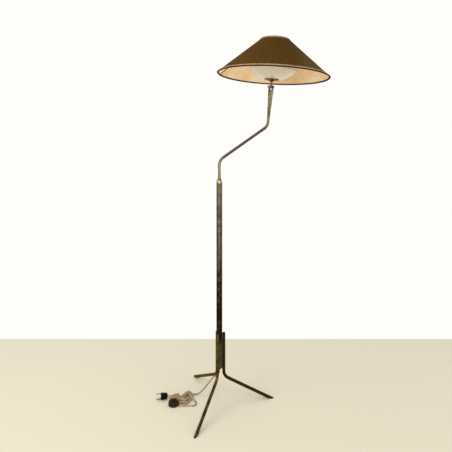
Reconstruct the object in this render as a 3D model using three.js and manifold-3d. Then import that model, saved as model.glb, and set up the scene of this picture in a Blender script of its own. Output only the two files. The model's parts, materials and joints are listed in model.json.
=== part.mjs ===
// Tripod floor lamp: three bent tube legs round a column, a cranked arm that swivels in the column's top,
// and a head that tilts in a slotted fork and carries a glass bowl, two lampholders and a cone shade.
// Millimetres, +Z up. The lamp is drawn with the column's axis on Z and the floor at z = 0, and the whole
// group is moved at the end so that the origin is the middle of the standing lamp's box, on the floor.
import * as THREE from "three";
import { mergeVertices } from "three/addons/utils/BufferGeometryUtils.js";
import Module from "manifold-3d";

const wasm = await Module();
wasm.setup();

// ---------------------------------------------------------------- sizes

const GAP = 0.3; // left between two pieces that touch
const SWIVEL_GAP = 0.35; // round a piece that turns or slides in another
const degrees = THREE.MathUtils.degToRad;

const COLUMN = { diameter: 25, wall: 1.5, length: 786, aboveBends: 17 };
const END_PLUG = { flange: 2.5, depth: 12, grommetHole: 11 };
const GROMMET = { flange: 14, flangeThick: 2, nose: 9, noseLength: 4 };

const LEG = {
  diameter: 13,
  wall: 1.2,
  slope: degrees(28.5), // of the splayed part, above the floor
  reach: 238.7, // from the column's axis to the outer tip of the sole
  bendRadius: 35,
  topAboveColumnEnd: 145,
  dome: 3.2, // its spun, closed top
};
const FOOT_PLUG = { sole: 1.4, depth: 16 };
const LEGS = { right: degrees(7.5), back: degrees(121), front: degrees(-112.5) }; // headings from +X

const COLLAR = { domeHeight: 14, topWall: 2.15, depth: 32 };
const COLLAR_SCREW = { thread: 4, head: 7, belowColumnTop: 14 };
const GUIDE_BUSH = { length: 12, aboveArmEnd: 9 };
const SWIVEL_WASHER = { thick: 0.8, width: 1.7 };
const SWIVEL_RING = { height: 7, foot: 2.4, waist: 1.4 }; // walls
const RETAINING_RING = { height: 4, wall: 2.2 };

const ARM = {
  diameter: 12,
  wall: 1,
  spigot: 72, // length held inside the column
  lowerRise: 98, // from the column's top to the lower corner
  slope: degrees(35.2), // of the long stretch, above level
  run: 206.6, // sideways, from corner to corner
  bendRadius: 40,
  upperRise: 37, // from the upper corner to the fork, along the leaning part
};
const HEAD_LEAN = degrees(5); // of the arm's upper part and of the head, towards +X

const FORK = { length: 137, topDiameter: 23.4, spigot: 18, slotDepth: 18, pivotBelowTop: 6 };
const PIVOT = { diameter: 5, head: 9, headThick: 2.8, seatDepth: 1.5, nut: 8, nutThick: 3.6 };
const FRICTION_WASHER = { thick: 0.8, diameter: 12.4 };

const KNUCKLE = { thick: 6, eye: 14, neck: 11, shoulder: 12, shoulderFrom: 13.2, shoulderTo: 17.5 };
const STEM = { diameter: 8, bore: 5, from: 12.8, length: 200.5 };
const DISH = { diameter: 63, wall: 1, tip: 20.8, rise: 9 };
const FELT = { width: 6, thick: 1.2 };
const BOWL = { diameter: 200, wall: 3, depth: 41, hole: 12 };
const CLAMP = { rubber: 30, rubberThick: 1.6, flange: 26, flangeThick: 1.4, nutAcross: 13, nutHeight: 5 };

const BRACKET = { thick: 1.6, width: 17, flat: 20, wing: 25, tilt: degrees(40), height: 102.5 };
const HOLDER = { baseDiameter: 20, diameter: 24, length: 42, lip: 26, lipLength: 9, nipple: 9.6, seat: 13.4 };
const HOLDER_NUT = { across: 13, height: 3 };
const BULB = { diameter: 45, neck: 15, centre: 31 };
const STEM_NUT = { across: 13, height: 4.4 };

const SHADE = { rimDiameter: 476, topDiameter: 120, height: 156, rimAbovePivot: 47 };
const SHADE_SEAT = { lean: degrees(-1.35), back: degrees(-1.6) }; // how far the wire frame is bent out of true
const COVER_THICK = 0.8;
const LINING_THICK = 0.7;
const RIM_WIRE = 3;
const TRIM = { thick: 0.9, outerWidth: 10, innerWidth: 6, topWidth: 8 };
const SPIDER = { spoke: 3, spokes: 3, drop: 3, hub: 20, hubThick: 2.4 };
const FINIAL = { diameter: 12, height: 25, neck: 10.8, foot: 14 };

const CORD = 5; // diameter of the fabric-covered flex
const SWITCH = { x: -193.5, y: -18.5, diameter: 44, height: 21, base: 7, wall: 2.2 };
const BUTTON = { diameter: 19, stand: 3.4, flange: 21 };
const SPRING = { diameter: 12, wire: 1.2, turns: 3.5 };
const NOZZLE = { diameter: 9, reach: 25.5, height: 4.9, inlet: degrees(-20), outlet: degrees(94) };
const PLUG = { x: -238, y: 20, heading: degrees(8), roll: degrees(65), diameter: 27, length: 30, nose: 15, height: 13.7 };
const PIN = { diameter: 4, length: 19, spacing: 19 };

const ROUND = 18; // sides of ordinary turned pieces
const SMALL_ROUND = 12;
const WIDE_ROUND = 36; // sides of the shade
const BOWL_ROUND = 32;
const TUBE_SIDES = 12;

// ---------------------------------------------------------------- making solids

// A geometry with only its positions, shared corners merged, no collapsed faces, and its faces pointing out.
function clean(geometry) {
  const bare = new THREE.BufferGeometry();
  bare.setAttribute("position", geometry.getAttribute("position"));
  bare.setIndex(geometry.index);
  const merged = mergeVertices(bare, 1e-4);
  const index = merged.index.array;
  const corner = (i) => new THREE.Vector3().fromBufferAttribute(merged.getAttribute("position"), i);
  const faces = [];
  let volume = 0;
  for (let i = 0; i < index.length; i += 3) {
    const [a, b, c] = [index[i], index[i + 1], index[i + 2]];
    if (a === b || b === c || c === a) continue;
    faces.push([a, b, c]);
    volume += corner(a).dot(corner(b).cross(corner(c)));
  }
  merged.setIndex(faces.flatMap(([a, b, c]) => (volume < 0 ? [a, c, b] : [a, b, c])));
  return merged;
}

function solidOf(geometry) {
  const shell = clean(geometry);
  return new wasm.Manifold(
    new wasm.Mesh({
      numProp: 3,
      vertProperties: new Float32Array(shell.getAttribute("position").array),
      triVerts: new Uint32Array(shell.index.array),
    }),
  );
}

function geometryOf(solid) {
  const mesh = solid.getMesh();
  const geometry = new THREE.BufferGeometry();
  geometry.setAttribute("position", new THREE.BufferAttribute(mesh.vertProperties, 3));
  geometry.setIndex(new THREE.BufferAttribute(mesh.triVerts, 1));
  return geometry;
}

const join = (first, ...rest) => geometryOf(rest.reduce((sum, g) => sum.add(solidOf(g)), solidOf(first)));
const cut = (body, ...tools) => geometryOf(tools.reduce((left, g) => left.subtract(solidOf(g)), solidOf(body)));
const common = (first, second) => geometryOf(solidOf(first).intersect(solidOf(second)));

// A profile of [radius, height] points turned about Z. It starts and ends on the axis, or closes on itself.
function turned(profile, sides = ROUND) {
  const loop = profile[0][0] > 0 ? [...profile, profile[0]] : profile;
  const points = loop.map(([radius, height]) => new THREE.Vector2(radius, height));
  return clean(new THREE.LatheGeometry(points, sides).rotateX(Math.PI / 2));
}

const rod = (diameter, low, high, sides = SMALL_ROUND) =>
  turned([[0, low], [diameter / 2, low], [diameter / 2, high], [0, high]], sides);

const pipe = (outer, inner, low, high, sides = ROUND) =>
  turned([[inner / 2, low], [outer / 2, low], [outer / 2, high], [inner / 2, high]], sides);

function hexNut(across, bore, low, height) {
  const body = turned(
    [
      [0, low],
      [across / Math.sqrt(3) - 0.5, low],
      [across / Math.sqrt(3), low + 0.5],
      [across / Math.sqrt(3), low + height - 0.5],
      [across / Math.sqrt(3) - 0.5, low + height],
      [0, low + height],
    ],
    6,
  );
  return cut(body, rod(bore, low - 1, low + height + 1));
}

function box(width, depth, height, x = 0, y = 0, z = 0) {
  return new THREE.BoxGeometry(width, depth, height).translate(x, y, z);
}

// Points of a round arc in a profile, from one angle to another (0 is outwards, 90 degrees is up).
function arc(centreRadius, centreHeight, radius, from, to, steps) {
  return Array.from({ length: steps + 1 }, (_, i) => {
    const angle = from + ((to - from) * i) / steps;
    return [centreRadius + radius * Math.cos(angle), centreHeight + radius * Math.sin(angle)];
  });
}

// A route of straight stretches whose corners are rounded. It has stations only at its ends and round
// its bends, so that a straight stretch stays one facet long when a section is extruded along it.
class RoundedRoute extends THREE.Curve {
  constructor(corners, radius, stepsPerBend = 5) {
    super();
    this.stations = [];
    const last = corners.length - 1;
    const direction = corners.slice(1).map((c, i) => c.clone().sub(corners[i]).normalize());
    this.stations.push({ point: corners[0].clone(), tangent: direction[0] });
    for (let i = 1; i < last; i++) {
      const [before, after] = [direction[i - 1], direction[i]];
      const turn = before.angleTo(after);
      const tangentLength = radius * Math.tan(turn / 2);
      const start = corners[i].clone().addScaledVector(before, -tangentLength);
      const inward = after.clone().addScaledVector(before, -after.dot(before)).normalize();
      for (let k = 0; k <= stepsPerBend; k++) {
        const angle = (turn * k) / stepsPerBend;
        const point = start
          .clone()
          .addScaledVector(before, radius * Math.sin(angle))
          .addScaledVector(inward, radius * (1 - Math.cos(angle)));
        const tangent = before.clone().multiplyScalar(Math.cos(angle)).addScaledVector(inward, Math.sin(angle));
        this.stations.push({ point, tangent });
      }
    }
    this.stations.push({ point: corners[last].clone(), tangent: direction[last - 1] });
    this.steps = this.stations.length - 1;
  }
  at(t, key) {
    const place = Math.min(Math.max(t, 0), 1) * this.steps;
    const i = Math.min(Math.floor(place), this.steps - 1);
    return this.stations[i][key].clone().lerp(this.stations[i + 1][key], place - i);
  }
  getPoint(t) {
    return this.at(t, "point");
  }
  getPointAt(t) {
    return this.at(t, "point");
  }
  getTangent(t) {
    return this.at(t, "tangent").normalize();
  }
  getTangentAt(t) {
    return this.getTangent(t);
  }
}

// A round section, hollow when it has a bore, carried along a route.
function bentTube(route, diameter, bore = 0, sides = TUBE_SIDES, steps = route.steps) {
  const section = new THREE.Shape().absarc(0, 0, diameter / 2, 0, 2 * Math.PI);
  if (bore > 0) section.holes.push(new THREE.Path().absarc(0, 0, bore / 2, 0, 2 * Math.PI));
  const options = { steps, curveSegments: sides / 2, extrudePath: route, bevelEnabled: false };
  return clean(new THREE.ExtrudeGeometry(section, options));
}

// ---------------------------------------------------------------- materials and placing

const finish = (color, roughness, metalness) => new THREE.MeshStandardMaterial({ color, roughness, metalness });
const PATINA = finish(0x3f3828, 0.45, 0.8);
const BRASS = finish(0x8f7d50, 0.4, 0.9);
const BRIGHT_BRASS = finish(0xc9b78a, 0.3, 0.95);
const STEEL = finish(0x8a8880, 0.4, 0.9);
const RUBBER = finish(0x1f1b17, 0.8, 0);
const BAKELITE = finish(0x1c1613, 0.35, 0);
const BROWN_BAKELITE = finish(0x3a281c, 0.35, 0);
const OPAL = finish(0xf1e8d6, 0.25, 0);
const CLEAR = finish(0xf4efe2, 0.1, 0);
const FABRIC = finish(0x5a4418, 0.85, 0);
const PARCHMENT = finish(0xe8bf90, 0.8, 0);
const BRAID = finish(0x9a805c, 0.85, 0);
const FLEX = finish(0xc9b184, 0.8, 0);
const FIBRE = finish(0x6b4a2e, 0.8, 0);

const lamp = new THREE.Group();
const arm = new THREE.Group(); // turns on the column's axis
const head = new THREE.Group(); // its origin is the pivot, its +Z the stem

function piece(group, name, geometry, material) {
  const mesh = new THREE.Mesh(geometry, material);
  mesh.name = name;
  group.add(mesh);
  return mesh;
}

// ---------------------------------------------------------------- places that follow from the sizes

const ringRadius = COLUMN.diameter / 2 + GAP + LEG.diameter / 2; // column's axis to a leg's axis
const soleRadius = LEG.reach - LEG.diameter / 2 / Math.sin(LEG.slope); // where a leg's axis meets the floor
const cornerHeight = (soleRadius - ringRadius) * Math.tan(LEG.slope);
const bendTangent = LEG.bendRadius * Math.tan((Math.PI / 2 - LEG.slope) / 2);
const columnBottom = cornerHeight + bendTangent + COLUMN.aboveBends;
const columnTop = columnBottom + COLUMN.length;
const columnBore = COLUMN.diameter - 2 * COLUMN.wall;
const legTop = columnBottom + LEG.topAboveColumnEnd;
const collarTop = columnTop + COLLAR.domeHeight;
const armBore = ARM.diameter - 2 * ARM.wall;
const runningBore = ARM.diameter + 2 * SWIVEL_GAP;
const armEnd = columnTop - ARM.spigot;

const leaning = new THREE.Vector3(Math.sin(HEAD_LEAN), 0, Math.cos(HEAD_LEAN));
const lowerCorner = new THREE.Vector3(0, 0, columnTop + ARM.lowerRise);
const upperCorner = new THREE.Vector3(ARM.run, 0, lowerCorner.z + ARM.run * Math.tan(ARM.slope));
const forkFoot = upperCorner.clone().addScaledVector(leaning, ARM.upperRise);
const pivotFromFoot = FORK.length - FORK.pivotBelowTop;
const pivotPoint = forkFoot.clone().addScaledVector(leaning, pivotFromFoot);

// ---------------------------------------------------------------- stand

function addColumn() {
  piece(lamp, "column_tube", cut(pipe(COLUMN.diameter, columnBore, columnBottom, columnTop), screwHole()), PATINA);

  const low = columnBottom - GAP - END_PLUG.flange;
  const seat = columnBore / 2 - GAP;
  const plug = turned([
    [END_PLUG.grommetHole / 2, low],
    [COLUMN.diameter / 2 - 0.8, low],
    [COLUMN.diameter / 2, low + 0.8],
    [COLUMN.diameter / 2, columnBottom - GAP],
    [seat, columnBottom - GAP],
    [seat, columnBottom + END_PLUG.depth],
    [END_PLUG.grommetHole / 2, columnBottom + END_PLUG.depth],
  ]);
  piece(lamp, "column_end_plug", plug, BRASS);

  const bore = CORD / 2 + GAP;
  const under = low - GAP;
  const grommet = turned(
    [
      [bore, under - GROMMET.flangeThick - GROMMET.noseLength],
      [GROMMET.nose / 2 - 0.6, under - GROMMET.flangeThick - GROMMET.noseLength],
      [GROMMET.nose / 2, under - GROMMET.flangeThick - 1],
      [GROMMET.flange / 2 - 0.7, under - GROMMET.flangeThick],
      [GROMMET.flange / 2, under - GROMMET.flangeThick + 0.7],
      [GROMMET.flange / 2, under],
      [END_PLUG.grommetHole / 2 - GAP, under],
      [END_PLUG.grommetHole / 2 - GAP, columnBottom + END_PLUG.depth],
      [bore, columnBottom + END_PLUG.depth],
    ],
    SMALL_ROUND,
  );
  piece(lamp, "cord_grommet", grommet, BAKELITE);
  return under - GROMMET.flangeThick - GROMMET.noseLength;
}

// The screw that holds the collar stands at the back of the column, its countersunk head flush with the tube.
const screwHeight = columnTop - COLLAR_SCREW.belowColumnTop;
const screwTilt = (geometry) => geometry.rotateX(-Math.PI / 2).translate(0, 0, screwHeight);

function screwHole() {
  return screwTilt(rod(COLLAR_SCREW.head + 2 * GAP, ARM.diameter / 2 + 2, COLUMN.diameter));
}

function addCollar() {
  const seat = columnBore / 2 - GAP;
  const shoulder = COLUMN.diameter / 2 + 0.4;
  const domeRadius = shoulder - runningBore / 2 - COLLAR.topWall;
  const domeFoot = columnTop + COLLAR.domeHeight - domeRadius;
  const collar = turned([
    [runningBore / 2, columnTop - COLLAR.depth],
    [seat, columnTop - COLLAR.depth],
    [seat, columnTop + GAP],
    [shoulder, columnTop + GAP],
    ...arc(shoulder - domeRadius, domeFoot, domeRadius, 0, Math.PI / 2, 4),
    [runningBore / 2, collarTop],
  ]);
  const thread = screwTilt(rod(COLLAR_SCREW.thread + 2 * GAP, 0, COLUMN.diameter));
  piece(lamp, "column_collar", cut(collar, thread), BRIGHT_BRASS);

  const headTop = COLUMN.diameter / 2 - 0.2;
  const screw = turned(
    [
      [0, ARM.diameter / 2 + SWIVEL_GAP + GAP],
      [COLLAR_SCREW.thread / 2, ARM.diameter / 2 + SWIVEL_GAP + GAP],
      [COLLAR_SCREW.thread / 2, columnBore / 2 + GAP],
      [COLLAR_SCREW.head / 2, columnBore / 2 + GAP],
      [COLLAR_SCREW.head / 2, headTop],
      [0, headTop],
    ],
    SMALL_ROUND,
  );
  const slot = box(COLLAR_SCREW.head + 1, 1.1, 1.6, 0, 0, headTop);
  piece(lamp, "collar_screw", screwTilt(cut(screw, slot)), BRASS);

  const bushFoot = armEnd + GUIDE_BUSH.aboveArmEnd;
  const bush = pipe(columnBore - 2 * GAP, runningBore, bushFoot, bushFoot + GUIDE_BUSH.length);
  piece(lamp, "guide_bush", bush, FIBRE);
}

// One leg, drawn along +X and turned to its heading: a tube with a domed top, and a rubber plug in its foot.
function addLeg(name, heading) {
  const leg = new THREE.Group();
  leg.rotation.z = heading;
  lamp.add(leg);
  const bore = LEG.diameter - 2 * LEG.wall;
  const splay = new THREE.Vector3(Math.cos(LEG.slope), 0, -Math.sin(LEG.slope));
  const corner = new THREE.Vector3(ringRadius, 0, cornerHeight);
  const toFloor = (soleRadius - ringRadius) / Math.cos(LEG.slope);
  const beyond = corner.clone().addScaledVector(splay, toFloor + 2 * LEG.diameter);
  const route = (top) => new RoundedRoute([new THREE.Vector3(ringRadius, 0, top), corner, beyond], LEG.bendRadius);
  const below = (height) => box(4 * LEG.reach, 4 * LEG.diameter, 4 * LEG.reach, 0, 0, height - 2 * LEG.reach);
  const radius = LEG.diameter / 2;
  const dome = turned(
    [
      [0, legTop - 2],
      [radius, legTop - 2],
      [radius, legTop],
      [0.92 * radius, legTop + 0.45 * LEG.dome],
      [0.72 * radius, legTop + 0.74 * LEG.dome],
      [0.4 * radius, legTop + 0.94 * LEG.dome],
      [0, legTop + LEG.dome],
    ],
    TUBE_SIDES,
  ).translate(ringRadius, 0, 0);
  const outside = join(bentTube(route(legTop), LEG.diameter), dome);
  const inside = bentTube(route(legTop - LEG.wall), bore);
  piece(leg, `leg_${name}`, cut(outside, inside, below(FOOT_PLUG.sole + GAP)), BRASS);

  const straight = (diameter, from) => {
    const start = corner.clone().addScaledVector(splay, toFloor + from);
    return bentTube(new RoundedRoute([start, beyond], 0), diameter);
  };
  const sole = cut(common(straight(LEG.diameter, -4 * LEG.diameter), below(FOOT_PLUG.sole)), below(0));
  const stem = cut(straight(bore - 2 * GAP, -FOOT_PLUG.depth - LEG.diameter), below(FOOT_PLUG.sole / 2));
  piece(leg, `foot_plug_${name}`, join(sole, stem), RUBBER);
}

// ---------------------------------------------------------------- arm

function addArm() {
  const start = new THREE.Vector3(0, 0, armEnd);
  const route = new RoundedRoute([start, lowerCorner, upperCorner, forkFoot], ARM.bendRadius, 6);
  piece(arm, "arm_tube", bentTube(route, ARM.diameter, armBore), BRASS);

  const washerLow = collarTop + GAP;
  const onArm = ARM.diameter + 2 * GAP;
  const around = (wall) => onArm + 2 * wall;
  const washer = pipe(around(SWIVEL_WASHER.width), onArm, washerLow, washerLow + SWIVEL_WASHER.thick);
  piece(arm, "swivel_washer", washer, FIBRE);

  const ringLow = washerLow + SWIVEL_WASHER.thick + GAP;
  const ring = turned([
    [onArm / 2, ringLow],
    [around(SWIVEL_RING.foot) / 2, ringLow],
    [around(SWIVEL_RING.foot) / 2, ringLow + 0.3 * SWIVEL_RING.height],
    [around(SWIVEL_RING.waist) / 2, ringLow + 0.55 * SWIVEL_RING.height],
    [around(SWIVEL_RING.waist) / 2, ringLow + 0.85 * SWIVEL_RING.height],
    [around(SWIVEL_RING.waist) / 2 - 0.8, ringLow + SWIVEL_RING.height],
    [onArm / 2, ringLow + SWIVEL_RING.height],
  ]);
  piece(arm, "swivel_ring", ring, BRASS);

  const keeperTop = armEnd + GUIDE_BUSH.aboveArmEnd - GAP;
  const keeper = pipe(around(RETAINING_RING.wall), onArm, keeperTop - RETAINING_RING.height, keeperTop);
  piece(arm, "retaining_ring", keeper, STEEL);

  // the flex follows the arm's own route into the fork, as far as the slot's floor
  const slotFloor = forkFoot.clone().addScaledVector(leaning, FORK.length - FORK.slotDepth - 2 * GAP);
  const flexRoute = new RoundedRoute([start, lowerCorner, upperCorner, slotFloor], ARM.bendRadius, 5);
  piece(arm, "flex_in_arm", bentTube(flexRoute, CORD, 0, 8), FLEX);
}

const pivotSeat = FORK.topDiameter / 2 - PIVOT.seatDepth; // pivot's middle to the flats under its head and nut
const slotWidth = KNUCKLE.thick + 2 * (FRICTION_WASHER.thick + 2 * GAP);

// The fork: a slim brass cone with a spigot in the arm tube, bored for the flex and slotted for the knuckle.
function addFork() {
  const fork = new THREE.Group();
  fork.position.copy(pivotPoint);
  fork.rotation.y = HEAD_LEAN;
  arm.add(fork);
  const foot = -pivotFromFoot + GAP;
  const top = FORK.pivotBelowTop;
  const bore = CORD / 2 + 2 * GAP;
  const cone = turned([
    [bore, foot - FORK.spigot],
    [armBore / 2 - GAP, foot - FORK.spigot],
    [armBore / 2 - GAP, foot],
    [ARM.diameter / 2, foot],
    [ARM.diameter / 2 + 0.2, foot + 6],
    [0.5 * (ARM.diameter + FORK.topDiameter) / 2, foot + 0.5 * FORK.length],
    [0.5 * FORK.topDiameter - 0.5, foot + 0.85 * FORK.length],
    [0.5 * FORK.topDiameter, top - 4],
    [0.5 * FORK.topDiameter - 0.2, top - 1.2],
    [0.5 * FORK.topDiameter - 1.4, top],
    [bore, top],
  ]);
  const slot = box(slotWidth, 2 * FORK.topDiameter, FORK.slotDepth + 2, 0, 0, top - FORK.slotDepth / 2 + 1);
  const hole = rod(PIVOT.diameter + 2 * GAP, -FORK.topDiameter, FORK.topDiameter).rotateY(Math.PI / 2);
  const flat = (side) => {
    const size = PIVOT.head + 3;
    return box(size, size, size, side * (pivotSeat + size / 2), 0, 0);
  };
  piece(fork, "fork", cut(cone, slot, hole, flat(1), flat(-1)), BRASS);

  const seat = pivotSeat + GAP;
  const screw = join(
    rod(PIVOT.diameter, -seat - PIVOT.nutThick + 0.6, seat + 0.5),
    turned(
      [
        [0, seat],
        [PIVOT.head / 2, seat],
        [PIVOT.head / 2, seat + 0.6 * PIVOT.headThick],
        [0.8 * (PIVOT.head / 2), seat + PIVOT.headThick],
        [0, seat + PIVOT.headThick],
      ],
      SMALL_ROUND,
    ),
  );
  const screwSlot = box(PIVOT.head + 1, 1.2, 2.4, 0, 0, seat + PIVOT.headThick);
  piece(fork, "pivot_screw", cut(screw, screwSlot).rotateY(Math.PI / 2), BRASS);

  // cap nut: a hexagon with a domed end, blind on the outside
  const nutBore = rod(PIVOT.diameter + 2 * GAP, -1, PIVOT.nutThick);
  const nut = join(
    turned([[0, 0], [PIVOT.nut / 2, 0], [PIVOT.nut / 2, PIVOT.nutThick], [0, PIVOT.nutThick]], 6),
    turned([[0, PIVOT.nutThick - 0.5], ...arc(0, PIVOT.nutThick - 0.5, 3.2, 0, Math.PI / 2, 4)], 12),
  );
  piece(fork, "pivot_nut", cut(nut, nutBore).translate(0, 0, seat).rotateY(-Math.PI / 2), BRASS);

  for (const [side, name] of [[1, "friction_washer_right"], [-1, "friction_washer_left"]]) {
    const inner = KNUCKLE.thick / 2 + GAP;
    const washer = pipe(FRICTION_WASHER.diameter, PIVOT.diameter + 2 * GAP, inner, inner + FRICTION_WASHER.thick, 20);
    piece(fork, name, washer.rotateY((side * Math.PI) / 2), FIBRE);
  }
}

// ---------------------------------------------------------------- head, drawn upright on its pivot

function addKnuckle() {
  // flat tongue: a round eye that narrows to the neck under the shoulder
  const outline = new THREE.Shape();
  const lean = Math.asin((KNUCKLE.eye / 2 - KNUCKLE.neck / 2) / KNUCKLE.shoulderFrom);
  outline.absarc(0, 0, KNUCKLE.eye / 2, Math.PI - lean, lean);
  outline.lineTo(KNUCKLE.neck / 2, KNUCKLE.shoulderFrom + 0.5);
  outline.lineTo(-KNUCKLE.neck / 2, KNUCKLE.shoulderFrom + 0.5);
  const options = { depth: KNUCKLE.thick, bevelEnabled: false, curveSegments: 8 };
  const tongue = new THREE.ExtrudeGeometry(outline, options)
    .translate(0, 0, -KNUCKLE.thick / 2)
    .rotateX(Math.PI / 2)
    .rotateZ(Math.PI / 2);
  const shoulder = turned(
    [
      [0, KNUCKLE.shoulderFrom],
      [KNUCKLE.neck / 2 - 0.6, KNUCKLE.shoulderFrom],
      [KNUCKLE.shoulder / 2, KNUCKLE.shoulderFrom + 0.8],
      [KNUCKLE.shoulder / 2, KNUCKLE.shoulderTo - 1],
      [KNUCKLE.shoulder / 2 - 1, KNUCKLE.shoulderTo],
      [0, KNUCKLE.shoulderTo],
    ],
    ROUND,
  );
  const pivotHole = rod(PIVOT.diameter + 2 * SWIVEL_GAP, -KNUCKLE.thick, KNUCKLE.thick).rotateY(Math.PI / 2);
  const socket = rod(STEM.diameter + 2 * GAP, STEM.from - GAP, KNUCKLE.shoulderTo + 1);
  piece(head, "knuckle", cut(join(tongue, shoulder), pivotHole, socket), BRASS);
}

const stemTop = STEM.from + STEM.length;
const dishRim = DISH.tip + DISH.rise;
const bowlSphere = ((BOWL.diameter / 2) ** 2 + BOWL.depth ** 2) / (2 * BOWL.depth);
const sag = (sphere, radius) => sphere - Math.sqrt(sphere ** 2 - radius ** 2);
const feltRadius = DISH.diameter / 2 - FELT.width / 2;
const bowlFoot = dishRim + GAP + FELT.thick + GAP - sag(bowlSphere, DISH.diameter / 2 - FELT.width);
const bowlRim = bowlFoot + BOWL.depth;

function addStemAndBowl() {
  piece(head, "stem", pipe(STEM.diameter, STEM.bore, STEM.from, stemTop, SMALL_ROUND), BRASS);

  // trumpet-shaped dish: steep at its tip, nearly level at its rim
  const onStem = STEM.diameter / 2 + GAP;
  const flare = (t) => [onStem + 1 + (DISH.diameter / 2 - onStem - 1) * t, DISH.tip + DISH.rise * Math.sqrt(t)];
  const under = Array.from({ length: 6 }, (_, i) => flare((i / 5) ** 2));
  const over = under.map(([r, z]) => [Math.max(onStem, r - 0.35), z + DISH.wall]).reverse();
  const dish = turned([[onStem, DISH.tip], ...under, ...over, [onStem, DISH.tip + DISH.wall]], ROUND);
  piece(head, "dish", dish, BRASS);

  const feltLow = (radius) => bowlFoot + sag(bowlSphere, radius) - GAP - FELT.thick;
  const [feltIn, feltOut] = [feltRadius - FELT.width / 2, feltRadius + FELT.width / 2];
  const felt = turned(
    [
      [feltIn, Math.max(feltLow(feltIn), dishRim + GAP)],
      [feltOut, dishRim + DISH.wall + GAP],
      [feltOut, feltLow(feltOut) + FELT.thick],
      [feltIn, feltLow(feltIn) + FELT.thick],
    ],
    BOWL_ROUND,
  );
  piece(head, "bowl_felt", felt, RUBBER);

  // a shallow cap of a sphere with an even wall and a rounded lip
  const inner = bowlSphere - BOWL.wall;
  const holeRadius = BOWL.hole / 2;
  const rimAngle = Math.asin(BOWL.diameter / 2 / bowlSphere);
  const holeAngle = Math.asin(holeRadius / bowlSphere);
  const centre = bowlFoot + bowlSphere;
  const outside = arc(0, centre, bowlSphere, holeAngle - Math.PI / 2, rimAngle - Math.PI / 2, 5);
  const inside = arc(0, centre, inner, rimAngle - Math.PI / 2, Math.asin(holeRadius / inner) - Math.PI / 2, 5);
  const lipOut = outside[outside.length - 1];
  const lipIn = inside[0];
  const lip = [(lipOut[0] + lipIn[0]) / 2 + 0.9, (lipOut[1] + lipIn[1]) / 2 + 1.1];
  piece(head, "glass_bowl", turned([...outside, lip, ...inside], BOWL_ROUND), OPAL);

  const floor = centre - inner + sag(inner, CLAMP.rubber / 2);
  const bore = STEM.diameter + 2 * GAP;
  const rubberLow = floor + 2 * GAP;
  const rubberTop = rubberLow + CLAMP.rubberThick;
  piece(head, "clamp_rubber", pipe(CLAMP.rubber, bore, rubberLow, rubberTop), RUBBER);
  const flangeLow = rubberTop + GAP;
  const flange = pipe(CLAMP.flange, bore, flangeLow, flangeLow + CLAMP.flangeThick);
  piece(head, "clamp_nut", join(flange, hexNut(CLAMP.nutAcross, bore, flangeLow, CLAMP.nutHeight)), BRASS);
}

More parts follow.
